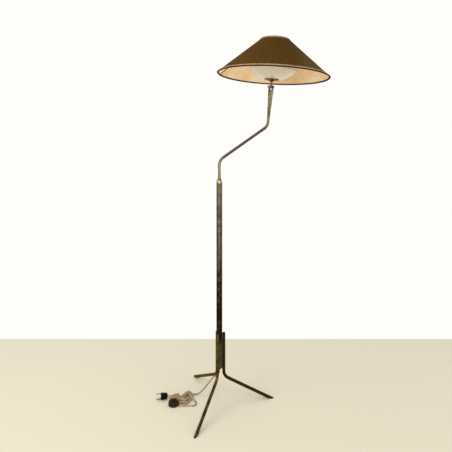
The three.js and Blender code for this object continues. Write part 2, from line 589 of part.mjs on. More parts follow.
// Bent strap across the stem, flat in the middle, with a wing each side that slopes down and carries a holder.
function addHolders() {
  const half = BRACKET.flat / 2;
  const wing = new THREE.Vector2(Math.cos(BRACKET.tilt), -Math.sin(BRACKET.tilt));
  const mitre = BRACKET.thick * Math.tan(BRACKET.tilt / 2);
  const outline = new THREE.Shape();
  outline.moveTo(-half - BRACKET.wing * wing.x, BRACKET.wing * wing.y);
  outline.lineTo(-half, 0);
  outline.lineTo(half, 0);
  outline.lineTo(half + BRACKET.wing * wing.x, BRACKET.wing * wing.y);
  const tip = new THREE.Vector2(-wing.y, wing.x).multiplyScalar(BRACKET.thick);
  outline.lineTo(half + BRACKET.wing * wing.x - tip.x, BRACKET.wing * wing.y - tip.y);
  outline.lineTo(half - mitre, -BRACKET.thick);
  outline.lineTo(-half + mitre, -BRACKET.thick);
  outline.lineTo(-half - BRACKET.wing * wing.x + tip.x, BRACKET.wing * wing.y - tip.y);
  outline.closePath();
  const strap = new THREE.ExtrudeGeometry(outline, { depth: BRACKET.width, bevelEnabled: false })
    .translate(0, 0, -BRACKET.width / 2)
    .rotateX(Math.PI / 2)
    .translate(0, 0, BRACKET.height);
  const onStem = STEM.diameter + 2 * GAP;
  const seatAlong = BRACKET.wing / 2 + 0.5;

  // a frame on each wing: its origin on the wing's upper face, its +Z the lampholder's axis
  const onWing = (geometry, side) =>
    geometry
      .rotateY(BRACKET.tilt)
      .translate(half + seatAlong * wing.x, 0, BRACKET.height + seatAlong * wing.y)
      .rotateZ(side > 0 ? 0 : Math.PI);
  const nippleHole = (side) => onWing(rod(HOLDER.nipple + 2 * GAP, -10, 10, ROUND), side);
  const stemHole = rod(onStem, BRACKET.height - 10, BRACKET.height + 10);
  piece(head, "holder_bracket", cut(strap, stemHole, nippleHole(1), nippleHole(-1)), STEEL);

  const nutLow = BRACKET.height - BRACKET.thick - GAP - STEM_NUT.height;
  piece(head, "bracket_nut_lower", hexNut(STEM_NUT.across, onStem, nutLow, STEM_NUT.height), BRASS);
  piece(head, "bracket_nut_upper", hexNut(STEM_NUT.across, onStem, BRACKET.height + GAP, STEM_NUT.height), BRASS);

  for (const [side, name] of [[1, "right"], [-1, "left"]]) {
    const low = GAP;
    const mouth = low + HOLDER.length;
    const body = turned(
      [
        [0, -BRACKET.thick - GAP - HOLDER_NUT.height],
        [HOLDER.nipple / 2, -BRACKET.thick - GAP - HOLDER_NUT.height],
        [HOLDER.nipple / 2, low],
        [HOLDER.seat / 2, low],
        [HOLDER.baseDiameter / 2, low + 4],
        [HOLDER.baseDiameter / 2 + 0.6, low + 12],
        [HOLDER.diameter / 2, low + 13],
        [HOLDER.diameter / 2, mouth - HOLDER.lipLength],
        [HOLDER.lip / 2, mouth - HOLDER.lipLength + 0.8],
        [HOLDER.lip / 2, mouth - 0.8],
        [HOLDER.lip / 2 - 0.8, mouth],
        [BULB.neck / 2 + 2, mouth],
        [BULB.neck / 2 + 2, mouth - 22],
        [0, mouth - 22],
      ],
      ROUND,
    );
    piece(head, `lampholder_${name}`, onWing(body, side), BAKELITE);
    const nutTop = -BRACKET.thick - GAP;
    const nut = hexNut(HOLDER_NUT.across, HOLDER.nipple + 2 * GAP, nutTop - HOLDER_NUT.height, HOLDER_NUT.height);
    piece(head, `holder_nut_${name}`, onWing(nut, side), STEEL);

    // golf-ball bulb: screw cap in the holder, a short neck, a round envelope
    const centre = mouth + BULB.centre;
    const ball = BULB.diameter / 2;
    const neckAngle = Math.asin((BULB.neck / 2 + 0.6) / ball) - Math.PI / 2;
    const bulb = turned(
      [
        [0, mouth - 21.4],
        [4, mouth - 21.4],
        [BULB.neck / 2 - 0.6, mouth - 18],
        [BULB.neck / 2 - 0.6, mouth - 1],
        [BULB.neck / 2, mouth + 1],
        ...arc(0, centre, ball, neckAngle, Math.PI / 2, 7).slice(0, -1),
        [0, centre + ball],
      ],
      ROUND,
    );
    piece(head, `bulb_${name}`, onWing(bulb, side), CLEAR);
  }
}

// Shade: every layer is measured from the outer cone, whose edges are the rim and the top ring.
const shadeRun = (SHADE.rimDiameter - SHADE.topDiameter) / 2;
const shadeSlope = Math.atan2(SHADE.height, shadeRun);
const shadeTop = SHADE.rimAbovePivot + SHADE.height;

// The point of the cone's wall at a distance up the slope from the rim and a depth inside the outer face.
function onCone(up, depth) {
  const radius = SHADE.rimDiameter / 2 - up * Math.cos(shadeSlope) - depth * Math.sin(shadeSlope);
  const height = SHADE.rimAbovePivot + up * Math.sin(shadeSlope) - depth * Math.cos(shadeSlope);
  return [radius, height];
}
const slant = Math.hypot(shadeRun, SHADE.height);

// The hub stays true on the stem, and its spokes are bent, so that the shade hangs a little askew round it.
const topRing = onCone(slant - RIM_WIRE / 2, (COVER_THICK + GAP + LINING_THICK) / 2);
const hubMiddle = topRing[1] - SPIDER.drop;
const askew = new THREE.Matrix4()
  .makeTranslation(0, 0, hubMiddle)
  .multiply(new THREE.Matrix4().makeRotationY(SHADE_SEAT.lean))
  .multiply(new THREE.Matrix4().makeRotationX(SHADE_SEAT.back))
  .multiply(new THREE.Matrix4().makeTranslation(0, 0, -hubMiddle));

function addShade() {
  const round = (profile) => turned(profile, WIDE_ROUND).applyMatrix4(askew);
  const layer = (from, to, outer, thick) =>
    round([onCone(from, outer), onCone(to, outer), onCone(to, outer + thick), onCone(from, outer + thick)]);
  const edge = RIM_WIRE + GAP;
  const total = COVER_THICK + GAP + LINING_THICK;
  piece(head, "shade_cover", layer(edge, slant - edge, 0, COVER_THICK), FABRIC);
  piece(head, "shade_lining", layer(edge, slant - edge, COVER_THICK + GAP, LINING_THICK), PARCHMENT);

  const wire = (up, sides) => {
    const [radius, height] = onCone(up, total / 2);
    return round(arc(radius, height, RIM_WIRE / 2, 0, 2 * Math.PI, sides).slice(0, -1));
  };
  piece(head, "rim_wire", wire(RIM_WIRE / 2, 6), STEEL);

  // braid folded over a wire: it stands clear of the wire, then lies against the shade on both sides
  const t = TRIM.thick;
  const outFace = -GAP - (RIM_WIRE - total) / 2 - 0.4;
  const inFace = total - outFace;
  const rimFold = [
    onCone(TRIM.outerWidth, -GAP - t),
    onCone(-GAP - t, outFace - 0.4 * t),
    onCone(-GAP - t, inFace + 0.4 * t),
    onCone(TRIM.innerWidth, total + GAP + t),
    onCone(TRIM.innerWidth, total + GAP),
    onCone(-GAP, inFace),
    onCone(-GAP, outFace),
    onCone(TRIM.outerWidth, -GAP),
  ];
  piece(head, "rim_braid", round(rimFold), BRAID);
  const topFold = [
    onCone(slant - TRIM.topWidth, -GAP - t),
    onCone(slant - TRIM.topWidth, -GAP),
    onCone(slant + GAP, outFace),
    onCone(slant + GAP, total / 2),
    onCone(slant + GAP + t, total / 2),
    onCone(slant + GAP + t, outFace - 0.4 * t),
  ];
  piece(head, "top_braid", round(topFold), BRAID);

  addSpider(wire(slant - RIM_WIRE / 2, 6));
}

// Spider: the top ring with spokes that dip to a hub, which is pinched on the stem by a nut and the finial.
function addSpider(ring) {
  const [reach, ringHeight] = topRing;
  const onStem = STEM.diameter + 2 * GAP;
  const hubLow = hubMiddle - SPIDER.hubThick / 2;
  const hubTop = hubLow + SPIDER.hubThick;
  const spokes = Array.from({ length: SPIDER.spokes }, (_, i) => {
    const heading = Math.PI / 2 + (2 * Math.PI * i) / SPIDER.spokes;
    const onSpoke = (x, z) => new THREE.Vector3(x * Math.cos(heading), x * Math.sin(heading), z);
    const corners = [
      onSpoke(SPIDER.hub / 2 - 2, hubMiddle),
      onSpoke(reach - 8, hubMiddle).applyMatrix4(askew),
      onSpoke(reach - 0.8, ringHeight - 0.8).applyMatrix4(askew),
    ];
    return bentTube(new RoundedRoute(corners, 8, 2), SPIDER.spoke, 0, 6);
  });
  const hub = rod(SPIDER.hub, hubLow, hubTop, ROUND);
  const spider = cut(join(ring, hub, ...spokes), rod(onStem, hubLow - 1, hubTop + 1));
  piece(head, "shade_spider", spider, STEEL);

  const nutLow = hubLow - GAP - STEM_NUT.height;
  piece(head, "spider_nut", hexNut(STEM_NUT.across, onStem, nutLow, STEM_NUT.height), BRASS);

  // finial: a turned knob, bored from below for the stem's end
  const low = hubTop + GAP;
  const knob = FINIAL.diameter / 2;
  const centre = low + FINIAL.height - knob;
  const finial = turned(
    [
      [onStem / 2, low],
      [FINIAL.foot / 2, low],
      [FINIAL.foot / 2, low + 2],
      [FINIAL.neck / 2, low + 3.5],
      [FINIAL.neck / 2, centre - 0.7 * knob],
      ...arc(0, centre, knob, -0.1 * Math.PI, Math.PI / 2, 5).slice(0, -1),
      [0, centre + knob],
      [0, stemTop + GAP],
      [onStem / 2, stemTop + GAP],
    ],
    SMALL_ROUND,
  );
  piece(head, "finial", finial, BRIGHT_BRASS);
}

// ---------------------------------------------------------------- flex, foot switch and plug

const point = (x, y, z) => new THREE.Vector3(x, y, z);
const cordRest = CORD / 2 + 0.15; // the flex's centre above the floor where it lies

const HANK = { x: -144.5, y: 17, length: 86, width: 40, height: 20, heading: degrees(72) };
const PLUG_HANK = { x: -192, y: 30, length: 44, width: 27, height: 14, heading: degrees(12) };

// From the grommet down through the air in a shallow S, and over the floor into the hank.
function leadIn(start) {
  const above = (x, y, share) => point(x, y, cordRest + share * (start - cordRest));
  return [
    above(0, 0, 1),
    above(0, 0, 0.95),
    above(-1.5, 0.6, 0.89),
    above(-7, 3, 0.83),
    above(-16, 7, 0.77),
    above(-27, 12, 0.7),
    above(-38.5, 20, 0.56),
    above(-51.8, 28, 0.41),
    above(-65, 36, 0.26),
    above(-78, 43, 0.13),
    above(-90, 47.5, 0.045),
    above(-101, 49, 0.008),
    above(-111, 46, 0.002),
    above(-124, 40, 0),
  ];
}

// Where the flex meets a nozzle of the foot switch, or a point straight out from there.
function atNozzle(turn, further = 0) {
  const reach = NOZZLE.reach + GAP + further;
  return point(SWITCH.x + reach * Math.cos(turn), SWITCH.y + reach * Math.sin(turn), NOZZLE.height);
}

// From the hank's right side round a small loop and along its front to the foot switch.
const toSwitch = [
  point(-132, 17, cordRest),
  point(-121, 11, cordRest),
  point(-109, 2, cordRest),
  point(-99.5, -10, cordRest),
  point(-99.5, -21, cordRest),
  point(-108, -27.5, cordRest),
  point(-121, -28.5, cordRest),
  point(-135, -29.5, cordRest),
  point(-150, -32, cordRest + 0.6),
  atNozzle(NOZZLE.inlet, 6),
  atNozzle(NOZZLE.inlet),
];

// From the switch's other nozzle into the second hank, and from that hank's left side into the plug's nose.
const fromSwitch = [atNozzle(NOZZLE.outlet), atNozzle(NOZZLE.outlet, 4), point(-196, 24, cordRest + 1)];

const plugNose = (further) => {
  const reach = PLUG.length / 2 + GAP + further;
  return point(PLUG.x + reach * Math.cos(PLUG.heading), PLUG.y + reach * Math.sin(PLUG.heading), PLUG.height);
};
const toPlug = [point(-200, 27, 8.4), point(-209, 25, 11), plugNose(6), plugNose(0)];

function cordTube(points, steps) {
  return bentTube(new THREE.CatmullRomCurve3(points, false, "centripetal"), CORD, 0, 8, steps);
}

// The outer shape of a hank: a long loop seen from above, with its edges rounded. It can be drawn larger
// all round, to trim the flex that runs into it.
function hankSolid({ x, y, length, width, height, heading }, larger = 0) {
  const edge = 3;
  const outline = new THREE.Shape();
  const [radius, half] = [width / 2 - edge + larger, (length - width) / 2];
  outline.absarc(half, 0, radius, -Math.PI / 2, Math.PI / 2);
  outline.absarc(-half, 0, radius, Math.PI / 2, (3 * Math.PI) / 2);
  outline.closePath();
  const options = {
    depth: height - 2 * edge + larger,
    curveSegments: 6,
    bevelThickness: edge,
    bevelSize: edge,
    bevelSegments: 1,
  };
  return clean(
    new THREE.ExtrudeGeometry(outline, options)
      .translate(0, 0, edge + 0.1)
      .rotateZ(heading)
      .translate(x, y, 0),
  );
}

function addSwitch() {
  const foot = new THREE.Group();
  foot.position.set(SWITCH.x, SWITCH.y, 0);
  lamp.add(foot);
  const radius = SWITCH.diameter / 2;
  const wall = SWITCH.wall;
  const floor = 2.5;
  const nozzle = (diameter, turn) =>
    rod(diameter, radius - 4, NOZZLE.reach).rotateY(Math.PI / 2).rotateZ(turn).translate(0, 0, NOZZLE.height);
  const nozzles = (diameter) => [nozzle(diameter, NOZZLE.inlet), nozzle(diameter, NOZZLE.outlet)];
  const tray = turned([
    [0, 0.1],
    [radius - 1.5, 0.1],
    [radius, 1.6],
    [radius, SWITCH.base],
    [radius - wall, SWITCH.base],
    [radius - wall, floor],
    [0, floor],
  ]);
  piece(foot, "switch_base", join(tray, ...nozzles(NOZZLE.diameter)), BROWN_BAKELITE);

  // domed cover with a hole for the button, cut out over the two nozzles
  const low = SWITCH.base + GAP;
  const hole = BUTTON.diameter / 2 + SWIVEL_GAP;
  const dome = turned([
    [radius - wall, low],
    [radius, low],
    [radius - 0.3, low + 4],
    [radius - 3, SWITCH.height - 4.2],
    [radius - 7.5, SWITCH.height - 1.2],
    [hole + 2.2, SWITCH.height],
    [hole, SWITCH.height - 0.6],
    [hole, SWITCH.height - 2.6],
    [radius - 8.5, SWITCH.height - 3.6],
    [radius - wall - 2.6, SWITCH.height - 6],
    [radius - wall, low + 3],
  ]);
  piece(foot, "switch_cover", cut(dome, ...nozzles(NOZZLE.diameter + 2 * GAP)), BROWN_BAKELITE);

  // button with a flange that stops it under the cover; it stands on a spring
  const flangeTop = SWITCH.height - 3.1;
  const top = SWITCH.height + BUTTON.stand;
  const button = turned(
    [
      [0, flangeTop - 1.6],
      [BUTTON.flange / 2, flangeTop - 1.6],
      [BUTTON.flange / 2, flangeTop],
      [BUTTON.diameter / 2, flangeTop],
      [BUTTON.diameter / 2, top - 1.4],
      [BUTTON.diameter / 2 - 1.6, top - 0.3],
      [BUTTON.diameter / 4, top],
      [0, top],
    ],
    ROUND,
  );
  piece(foot, "switch_button", button, BAKELITE);

  const springLow = floor + GAP + SPRING.wire / 2;
  const springTop = flangeTop - 1.6 - GAP - SPRING.wire / 2;
  class Helix extends THREE.Curve {
    getPoint(t) {
      const angle = 2 * Math.PI * SPRING.turns * t;
      const across = (SPRING.diameter - SPRING.wire) / 2;
      const height = springLow + (springTop - springLow) * t;
      return point(across * Math.cos(angle), across * Math.sin(angle), height);
    }
  }
  piece(foot, "switch_spring", bentTube(new Helix(), SPRING.wire, 0, 6, 28), STEEL);
}

function addPlug() {
  const plug = new THREE.Group();
  plug.position.set(PLUG.x, PLUG.y, PLUG.height);
  plug.rotation.z = PLUG.heading;
  lamp.add(plug);
  const radius = PLUG.diameter / 2;
  const half = PLUG.length / 2;
  // body turned about its own length: flat face with the pins, waist for the fingers, nose for the flex
  const body = turned(
    [
      [0, -half],
      [radius - 1.2, -half],
      [radius, -half + 1.2],
      [radius, -half + 8],
      [radius - 1.8, -half + 11],
      [radius - 2.4, -half + 17],
      [PLUG.nose / 2 + 1.2, half - 7],
      [PLUG.nose / 2 - 1, half - 2],
      [PLUG.nose / 2 - 3, half],
      [0, half],
    ],
    ROUND,
  ).rotateY(Math.PI / 2);
  const offPin = (side) => [(side * PIN.spacing * Math.cos(PLUG.roll)) / 2, (side * PIN.spacing * Math.sin(PLUG.roll)) / 2];
  const pinHole = (side) =>
    rod(PIN.diameter + 2 * GAP, -half - 1, -half + 6).rotateY(Math.PI / 2).translate(0, ...offPin(side));
  piece(plug, "plug_body", cut(body, pinHole(1), pinHole(-1)), BAKELITE);
  for (const [side, name] of [[1, "plug_pin_upper"], [-1, "plug_pin_lower"]]) {
    const pin = turned(
      [
        [0, -half - PIN.length],
        [PIN.diameter / 2 - 0.9, -half - PIN.length],
        [PIN.diameter / 2, -half - PIN.length + 1.4],
        [PIN.diameter / 2, -half + 5.4],
        [0, -half + 5.4],
      ],
      12,
    ).rotateY(Math.PI / 2);
    piece(plug, name, pin.translate(0, ...offPin(side)), STEEL);
  }
}

function addFlex(grommetEnd) {
  const inside = new RoundedRoute([point(0, 0, grommetEnd), point(0, 0, armEnd - GAP)], 0);
  piece(lamp, "flex_in_column", bentTube(inside, CORD, 0, 8), FLEX);
  const hank = hankSolid(HANK, GAP);
  const plugHank = hankSolid(PLUG_HANK, GAP);
  piece(lamp, "cord_lead_in", cut(cordTube(leadIn(grommetEnd - GAP), 18), hank), FLEX);
  piece(lamp, "cord_hank", hankSolid(HANK), FLEX);
  piece(lamp, "cord_to_switch", cut(cordTube(toSwitch, 14), hank), FLEX);
  piece(lamp, "cord_from_switch", cut(cordTube(fromSwitch, 4), plugHank), FLEX);
  piece(lamp, "cord_plug_hank", hankSolid(PLUG_HANK), FLEX);
  piece(lamp, "cord_to_plug", cut(cordTube(toPlug, 6), plugHank), FLEX);
}

// ---------------------------------------------------------------- assembly

const grommetEnd = addColumn();
addCollar();
for (const [name, heading] of Object.entries(LEGS)) addLeg(name, heading);
addArm();
addFork();
addKnuckle();
addStemAndBowl();
addHolders();
addShade();
addFlex(grommetEnd);
addSwitch();
addPlug();

head.position.copy(pivotPoint);
head.rotation.y = HEAD_LEAN;
arm.add(head);
lamp.add(arm);

// Origin: the middle of the box round the standing lamp, without the flex and what is on it.
const ON_THE_CORD = /^(cord_(?!grommet)|switch_|plug_)/;
lamp.updateMatrixWorld(true);
const standing = new THREE.Box3();
lamp.traverse((o) => {
  if (o.isMesh && !ON_THE_CORD.test(o.name)) standing.expandByObject(o, true);
});
const middle = standing.getCenter(new THREE.Vector3());
lamp.position.set(-middle.x, -middle.y, 0);
lamp.updateMatrixWorld(true);

export default lamp;
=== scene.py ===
"""Tripod floor lamp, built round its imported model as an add-on with one button for each group of pieces.

Places are in metres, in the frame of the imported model: the floor is at z = 0 and the lamp's head is at +X.
Profiles and outlines are in millimetres, about the axis that they are turned or drawn on.
"""

import json
from types import SimpleNamespace

import bmesh
import bpy
import numpy as np
from mathutils import Matrix, Vector


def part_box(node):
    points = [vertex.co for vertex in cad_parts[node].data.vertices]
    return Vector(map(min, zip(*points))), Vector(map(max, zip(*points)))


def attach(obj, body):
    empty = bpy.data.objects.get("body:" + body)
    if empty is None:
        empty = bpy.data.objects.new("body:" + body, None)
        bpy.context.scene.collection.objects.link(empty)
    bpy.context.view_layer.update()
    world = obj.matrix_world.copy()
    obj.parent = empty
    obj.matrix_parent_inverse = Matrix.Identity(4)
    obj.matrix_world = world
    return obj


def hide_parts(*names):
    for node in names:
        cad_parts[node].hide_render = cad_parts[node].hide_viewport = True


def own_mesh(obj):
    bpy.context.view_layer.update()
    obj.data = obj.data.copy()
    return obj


bl_info = {
    "name": "Tripod Floor Lamp",
    "version": (1, 0, 0),
    "blender": (4, 5, 0),
    "location": "3D View > Sidebar > Lamp",
    "description": "Builds a tripod floor lamp with a cranked arm, a tilting shade and its flex",
    "category": "Add Mesh",
}

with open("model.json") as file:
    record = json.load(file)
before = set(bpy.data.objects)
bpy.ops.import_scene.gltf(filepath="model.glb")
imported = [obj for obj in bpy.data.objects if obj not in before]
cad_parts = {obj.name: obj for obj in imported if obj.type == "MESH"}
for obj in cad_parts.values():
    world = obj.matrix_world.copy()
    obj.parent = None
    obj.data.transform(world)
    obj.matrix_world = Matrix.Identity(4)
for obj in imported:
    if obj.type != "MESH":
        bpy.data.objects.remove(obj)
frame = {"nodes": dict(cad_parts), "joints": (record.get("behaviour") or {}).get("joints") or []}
JOINTS = {joint["name"]: joint for joint in frame["joints"]}
COLUMN_AXIS = Vector(JOINTS["arm_swivel"]["pos_m"]).to_2d().to_3d()
PIVOT = Vector(JOINTS["head_tilt"]["pos_m"])
TILT_AXIS = Vector(JOINTS["head_tilt"]["axis"])


def frame_at(origin, across, up):
    """A matrix whose origin, X and Z are given: points drawn upright at zero are carried there."""
    across, up = Vector(across).normalized(), Vector(up).normalized()
    turn = Matrix((across, up.cross(across), up)).transposed()
    return Matrix.Translation(origin) @ turn.to_4x4()


STAND = Matrix.Translation(COLUMN_AXIS)  # on the floor, with Z up the middle of the column
HEAD = frame_at(PIVOT, TILT_AXIS, TILT_AXIS.cross((0, 1, 0)))  # at the pivot screw, with Z up the stem


# ------------------------------------------------------------------ sizes and colours


def length(name, default, description):
    return bpy.props.FloatProperty(
        name=name, default=default, description=description, unit="LENGTH", precision=4, min=0
    )


def colour(name, default, description):
    return bpy.props.FloatVectorProperty(
        name=name, default=default, description=description, subtype="COLOR", size=4, min=0, max=1
    )


def angle(name, default, description):
    return bpy.props.FloatProperty(
        name=name, default=np.radians(default), description=description, unit="ROTATION", precision=1
    )


def shown(r, g, b):
    """A colour as it looks on a screen, 0 to 255, in the linear numbers that shaders use."""
    return (*(float(((c / 255 + 0.055) / 1.055) ** 2.4 if c > 10 else c / 3295) for c in (r, g, b)), 1)


def low_end(node):
    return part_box(node)[0].z


def high_end(node):
    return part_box(node)[1].z


class StandSizes(bpy.types.PropertyGroup):
    """The column and its three legs."""

    column: length("Column diameter", 0.025, "Outer diameter of the column's tube")
    column_foot: length("Column foot", low_end("column_tube"), "Height of the column's lower end")
    column_top: length("Column top", high_end("column_tube"), "Height of the column's upper end")
    leg: length("Leg diameter", 0.013, "Outer diameter of a leg's tube")
    leg_reach: length("Leg reach", 0.2387, "From the column's axis to the tip of a foot")
    leg_bend: length("Leg bend", 0.035, "Radius of a leg's bend at the tube's middle")
    leg_slope: angle("Leg slope", 28.5, "How steeply the splayed part stands on the floor")
    right: angle("Right leg", 7.5, "Heading of the leg under the shade")
    back: angle("Back leg", 121, "Heading of the back leg")
    front: angle("Front leg", -112.5, "Heading of the front leg")


class ArmSizes(bpy.types.PropertyGroup):
    """The cranked arm and the fork at its end."""

    tube: length("Arm diameter", 0.012, "Outer diameter of the arm's tube")
    foot: length("Arm foot", low_end("arm_tube"), "Height of the arm's end inside the column")
    lower_rise: length("Lower rise", 0.098, "From the column's top to the lower corner")
    run: length("Run", 0.2066, "Sideways, from corner to corner")
    slope: angle("Slope", 35.2, "How steeply the long stretch climbs")
    bend: length("Bend", 0.04, "Radius of both bends at the tube's middle")
    upper_rise: length("Upper rise", 0.037, "From the upper corner to the fork, along its lean")
    fork: length("Fork length", 0.137, "Length of the turned fork")
    fork_top: length("Fork top", 0.0234, "Widest diameter of the fork")


class ShadeSizes(bpy.types.PropertyGroup):
    """The cone of the shade, measured on its outer face, and the bowl in it."""

    rim: length("Rim diameter", 0.476, "Diameter of the shade's lower edge")
    top: length("Top diameter", 0.12, "Diameter of the shade's upper edge")
    height: length("Height", 0.156, "Upright distance between the two edges")
    above_pivot: length("Rim above pivot", 0.047, "From the pivot screw up to the lower edge")
    lean: angle("Shade lean", -1.35, "How far the wire frame is bent sideways out of true")
    back: angle("Shade back", -1.6, "How far the wire frame is bent backwards out of true")
    braid: length("Braid", 0.01, "Width of the braid outside the rim")
    bowl: length("Bowl diameter", 0.2, "Diameter of the glass bowl")
    bowl_depth: length("Bowl depth", 0.041, "Depth of the glass bowl")
    bulb: length("Bulb diameter", 0.045, "Diameter of the round bulbs")


class FlexSizes(bpy.types.PropertyGroup):
    """The fabric-covered flex, its foot switch and its plug."""

    diameter: length("Flex diameter", 0.005, "Thickness of the flex over its woven cover")
    lead: length("Lamp to switch", 1.41, "Length of flex between the lamp and its foot switch")
    tail: length("Switch to plug", 0.34, "Length of flex between the foot switch and the plug")
    switch: length("Foot switch diameter", 0.044, "Outer diameter of the foot switch")
    plug: length("Plug diameter", 0.027, "Outer diameter of the plug")


class Finishes(bpy.types.PropertyGroup):
    """Colours that a user would change."""

    column: colour("Column", shown(102, 94, 78), "Brown-patinated brass of the column")
    legs: colour("Legs", shown(108, 88, 52), "Old brass of the legs")
    arm: colour("Arm", shown(132, 123, 100), "Rubbed brass of the arm, the fork and the small turned pieces")
    bright: colour("Bright brass", shown(176, 163, 134), "Polished brass of the collar and the finial")
    cover: colour("Shade", shown(96, 70, 26), "Ribbed cloth of the shade")
    lining: colour("Lining", shown(255, 234, 200), "Parchment inside the shade")
    braid: colour("Braid", shown(192, 166, 128), "Braid round the shade's edges")
    opal: colour("Opal glass", shown(203, 196, 181), "Glass bowl")
    flex: colour("Flex", shown(206, 181, 143), "Main thread of the woven flex")
    plug: colour("Plug", shown(12, 8, 6), "Black moulding of the plug and the lampholders")
    switch: colour("Foot switch", shown(34, 23, 9), "Brown moulding of the foot switch")
    floor: colour("Floor", shown(231, 223, 200), "Floor under the lamp")
    wall: colour("Wall", shown(255, 254, 251), "What is seen behind the lamp")


def millimetres(group):
    """The lengths of a property group in millimetres, and its other values as they are."""
    unit_of = {name: group.bl_rna.properties[name].unit for name in group.__annotations__}
    return SimpleNamespace(
        **{name: getattr(group, name) * (1000 if unit == "LENGTH" else 1) for name, unit in unit_of.items()}
    )


# ------------------------------------------------------------------ surfaces

SAME_POINT = 2e-6  # metres: corners nearer than this are one corner
NO_LENGTH = 1e-7  # metres: an edge shorter than this is dissolved
ALMOST_STRAIGHT = 0.94  # a corner whose turn has a greater cosine than this isn't rounded
MOST_OF_A_SIDE = 0.45  # share of a side that the rounding of one corner may take
CHAMFER_START = 0.96  # where a nut's chamfer begins, as a share of half its width across the flats


def linked(name, data):
    """A new object in the scene."""
    made = bpy.data.objects.new(name, data)
    bpy.context.scene.collection.objects.link(made)
    return made


def travelled(points):
    """How far along a line each of its points is."""
    return np.concatenate([[0], np.cumsum(np.linalg.norm(np.diff(points, axis=0), axis=1))])


def unit(rows):
    """The same directions, each of length 1."""
    return rows / np.linalg.norm(rows, axis=1)[:, None]


def surface(name, points, uv=None, sharp=35):
    """A mesh from a grid of points, one quad between each four neighbours.

    Rows and columns that end where they began are welded there, and so are rows that shrink to a point.
    uv gives two numbers for each grid point. Edges that turn by more than sharp degrees stay crisp.
    """
    rows, columns = points.shape[:2]
    corner = np.arange(rows * columns).reshape(rows, columns)
    quads = np.stack([corner[:-1, :-1], corner[:-1, 1:], corner[1:, 1:], corner[1:, :-1]], -1).reshape(-1, 4)
    mesh = bpy.data.meshes.new(name)
    mesh.from_pydata(points.reshape(-1, 3), [], quads.tolist())
    if uv is not None:
        layer = mesh.uv_layers.new(name="Cloth")
        layer.uv.foreach_set("vector", uv.reshape(-1, 2)[quads.reshape(-1)].astype(np.float32).ravel())
    return finished(name, mesh, sharp)


def finished(name, mesh, sharp):
    """An object from a raw mesh: doubles merged, faces turned outwards, smooth but for its sharp edges."""
    work = bmesh.new()
    work.from_mesh(mesh)
    bmesh.ops.remove_doubles(work, verts=work.verts, dist=SAME_POINT)
    bmesh.ops.dissolve_degenerate(work, edges=work.edges, dist=NO_LENGTH)
    bmesh.ops.recalc_face_normals(work, faces=work.faces)
    work.to_mesh(mesh)
    work.free()
    mesh.shade_smooth()
    mesh.set_sharp_from_angle(angle=np.radians(sharp))
    return linked(name, mesh)


def placed(points, matrix):
    """Points drawn at zero in millimetres, carried to their place by a matrix, in metres."""
    m = np.array(matrix)
    return np.asarray(points, float) / 1000 @ m[:3, :3].T + m[:3, 3]


def eased(profile, reach):
    """A profile with rounded corners: each is swapped for a curve that starts and ends a reach away from it.

    The curve between the points a and b beside a corner c is (1-t)^2 a + 2t(1-t) c + t^2 b.
    """
    p = np.asarray(profile, float)
    parts = [p[:1]]
    for before, corner, after in zip(p[:-2], p[1:-1], p[2:]):
        to_before, to_after = before - corner, after - corner
        sides = np.linalg.norm(to_before), np.linalg.norm(to_after)
        if -(to_before @ to_after) > ALMOST_STRAIGHT * sides[0] * sides[1]:
            parts.append(corner[None])
            continue
        a = corner + to_before * min(reach / sides[0], MOST_OF_A_SIDE)
        b = corner + to_after * min(reach / sides[1], MOST_OF_A_SIDE)
        t = np.linspace(0, 1, 4)[:, None]
        parts.append((1 - t) ** 2 * a + 2 * t * (1 - t) * corner + t**2 * b)
    return np.concatenate([*parts, p[-1:]])


def arc(radius, height, size, start, stop, steps):
    """Points of a round arc in a profile, between two angles in degrees: 0 is outwards and 90 is up."""
    turn = np.radians(np.linspace(start, stop, steps + 1))
    return list(zip(radius + size * np.cos(turn), height + size * np.sin(turn)))


def sleeve(inner, outer, low, high):
    """The profile of a plain sleeve, washer or, from 0, of a rod."""
    return [(inner, low), (outer, low), (outer, high), (inner, high)]


def turned(name, profile, matrix, sides=64, ease=0.25, shape=None):
    """A profile of (radius, height) points in millimetres turned about Z, then carried to its place.

    The point of profile point (r, h) at angle a is (r cos a, r sin a, h). shape may change each radius: it is
    given the radii, heights and angles of the whole grid. A profile that doesn't start on the axis closes on
    itself. UV is in metres: round the widest radius, and along the profile.
    """
    p = np.asarray(profile, float)
    if p[0, 0] > 0:
        p = np.concatenate([p, p[:1]])
    p = eased(p, ease) if ease else p
    turn = np.linspace(0, 2 * np.pi, sides + 1)
    radius, height = (np.broadcast_to(p[:, k, None], (len(p), sides + 1)) for k in (0, 1))
    if shape is not None:
        radius = shape(radius, height, turn[None])
    points = np.stack([radius * np.cos(turn), radius * np.sin(turn), height], -1)
    widest = p[:, 0].max() / 1000
    uv = np.stack(np.broadcast_arrays(turn[None] * widest, travelled(p)[:, None] / 1000), -1)
    return surface(name, placed(points, matrix), uv)


def drill(radius, low, high, matrix, sides=64):
    """A round cutter for carved(), between two heights on the matrix's Z."""
    return turned("drill", sleeve(0, radius, low, high), matrix, sides, 0)


def hexagon(across):
    """A shape for turned(): no point lies further out than a hexagon of that size across its flats."""

    def shape(radius, height, turn):
        flat = across / 2 / np.cos(np.mod(turn, np.pi / 3) - np.pi / 6)
        return np.minimum(radius, flat)

    return shape


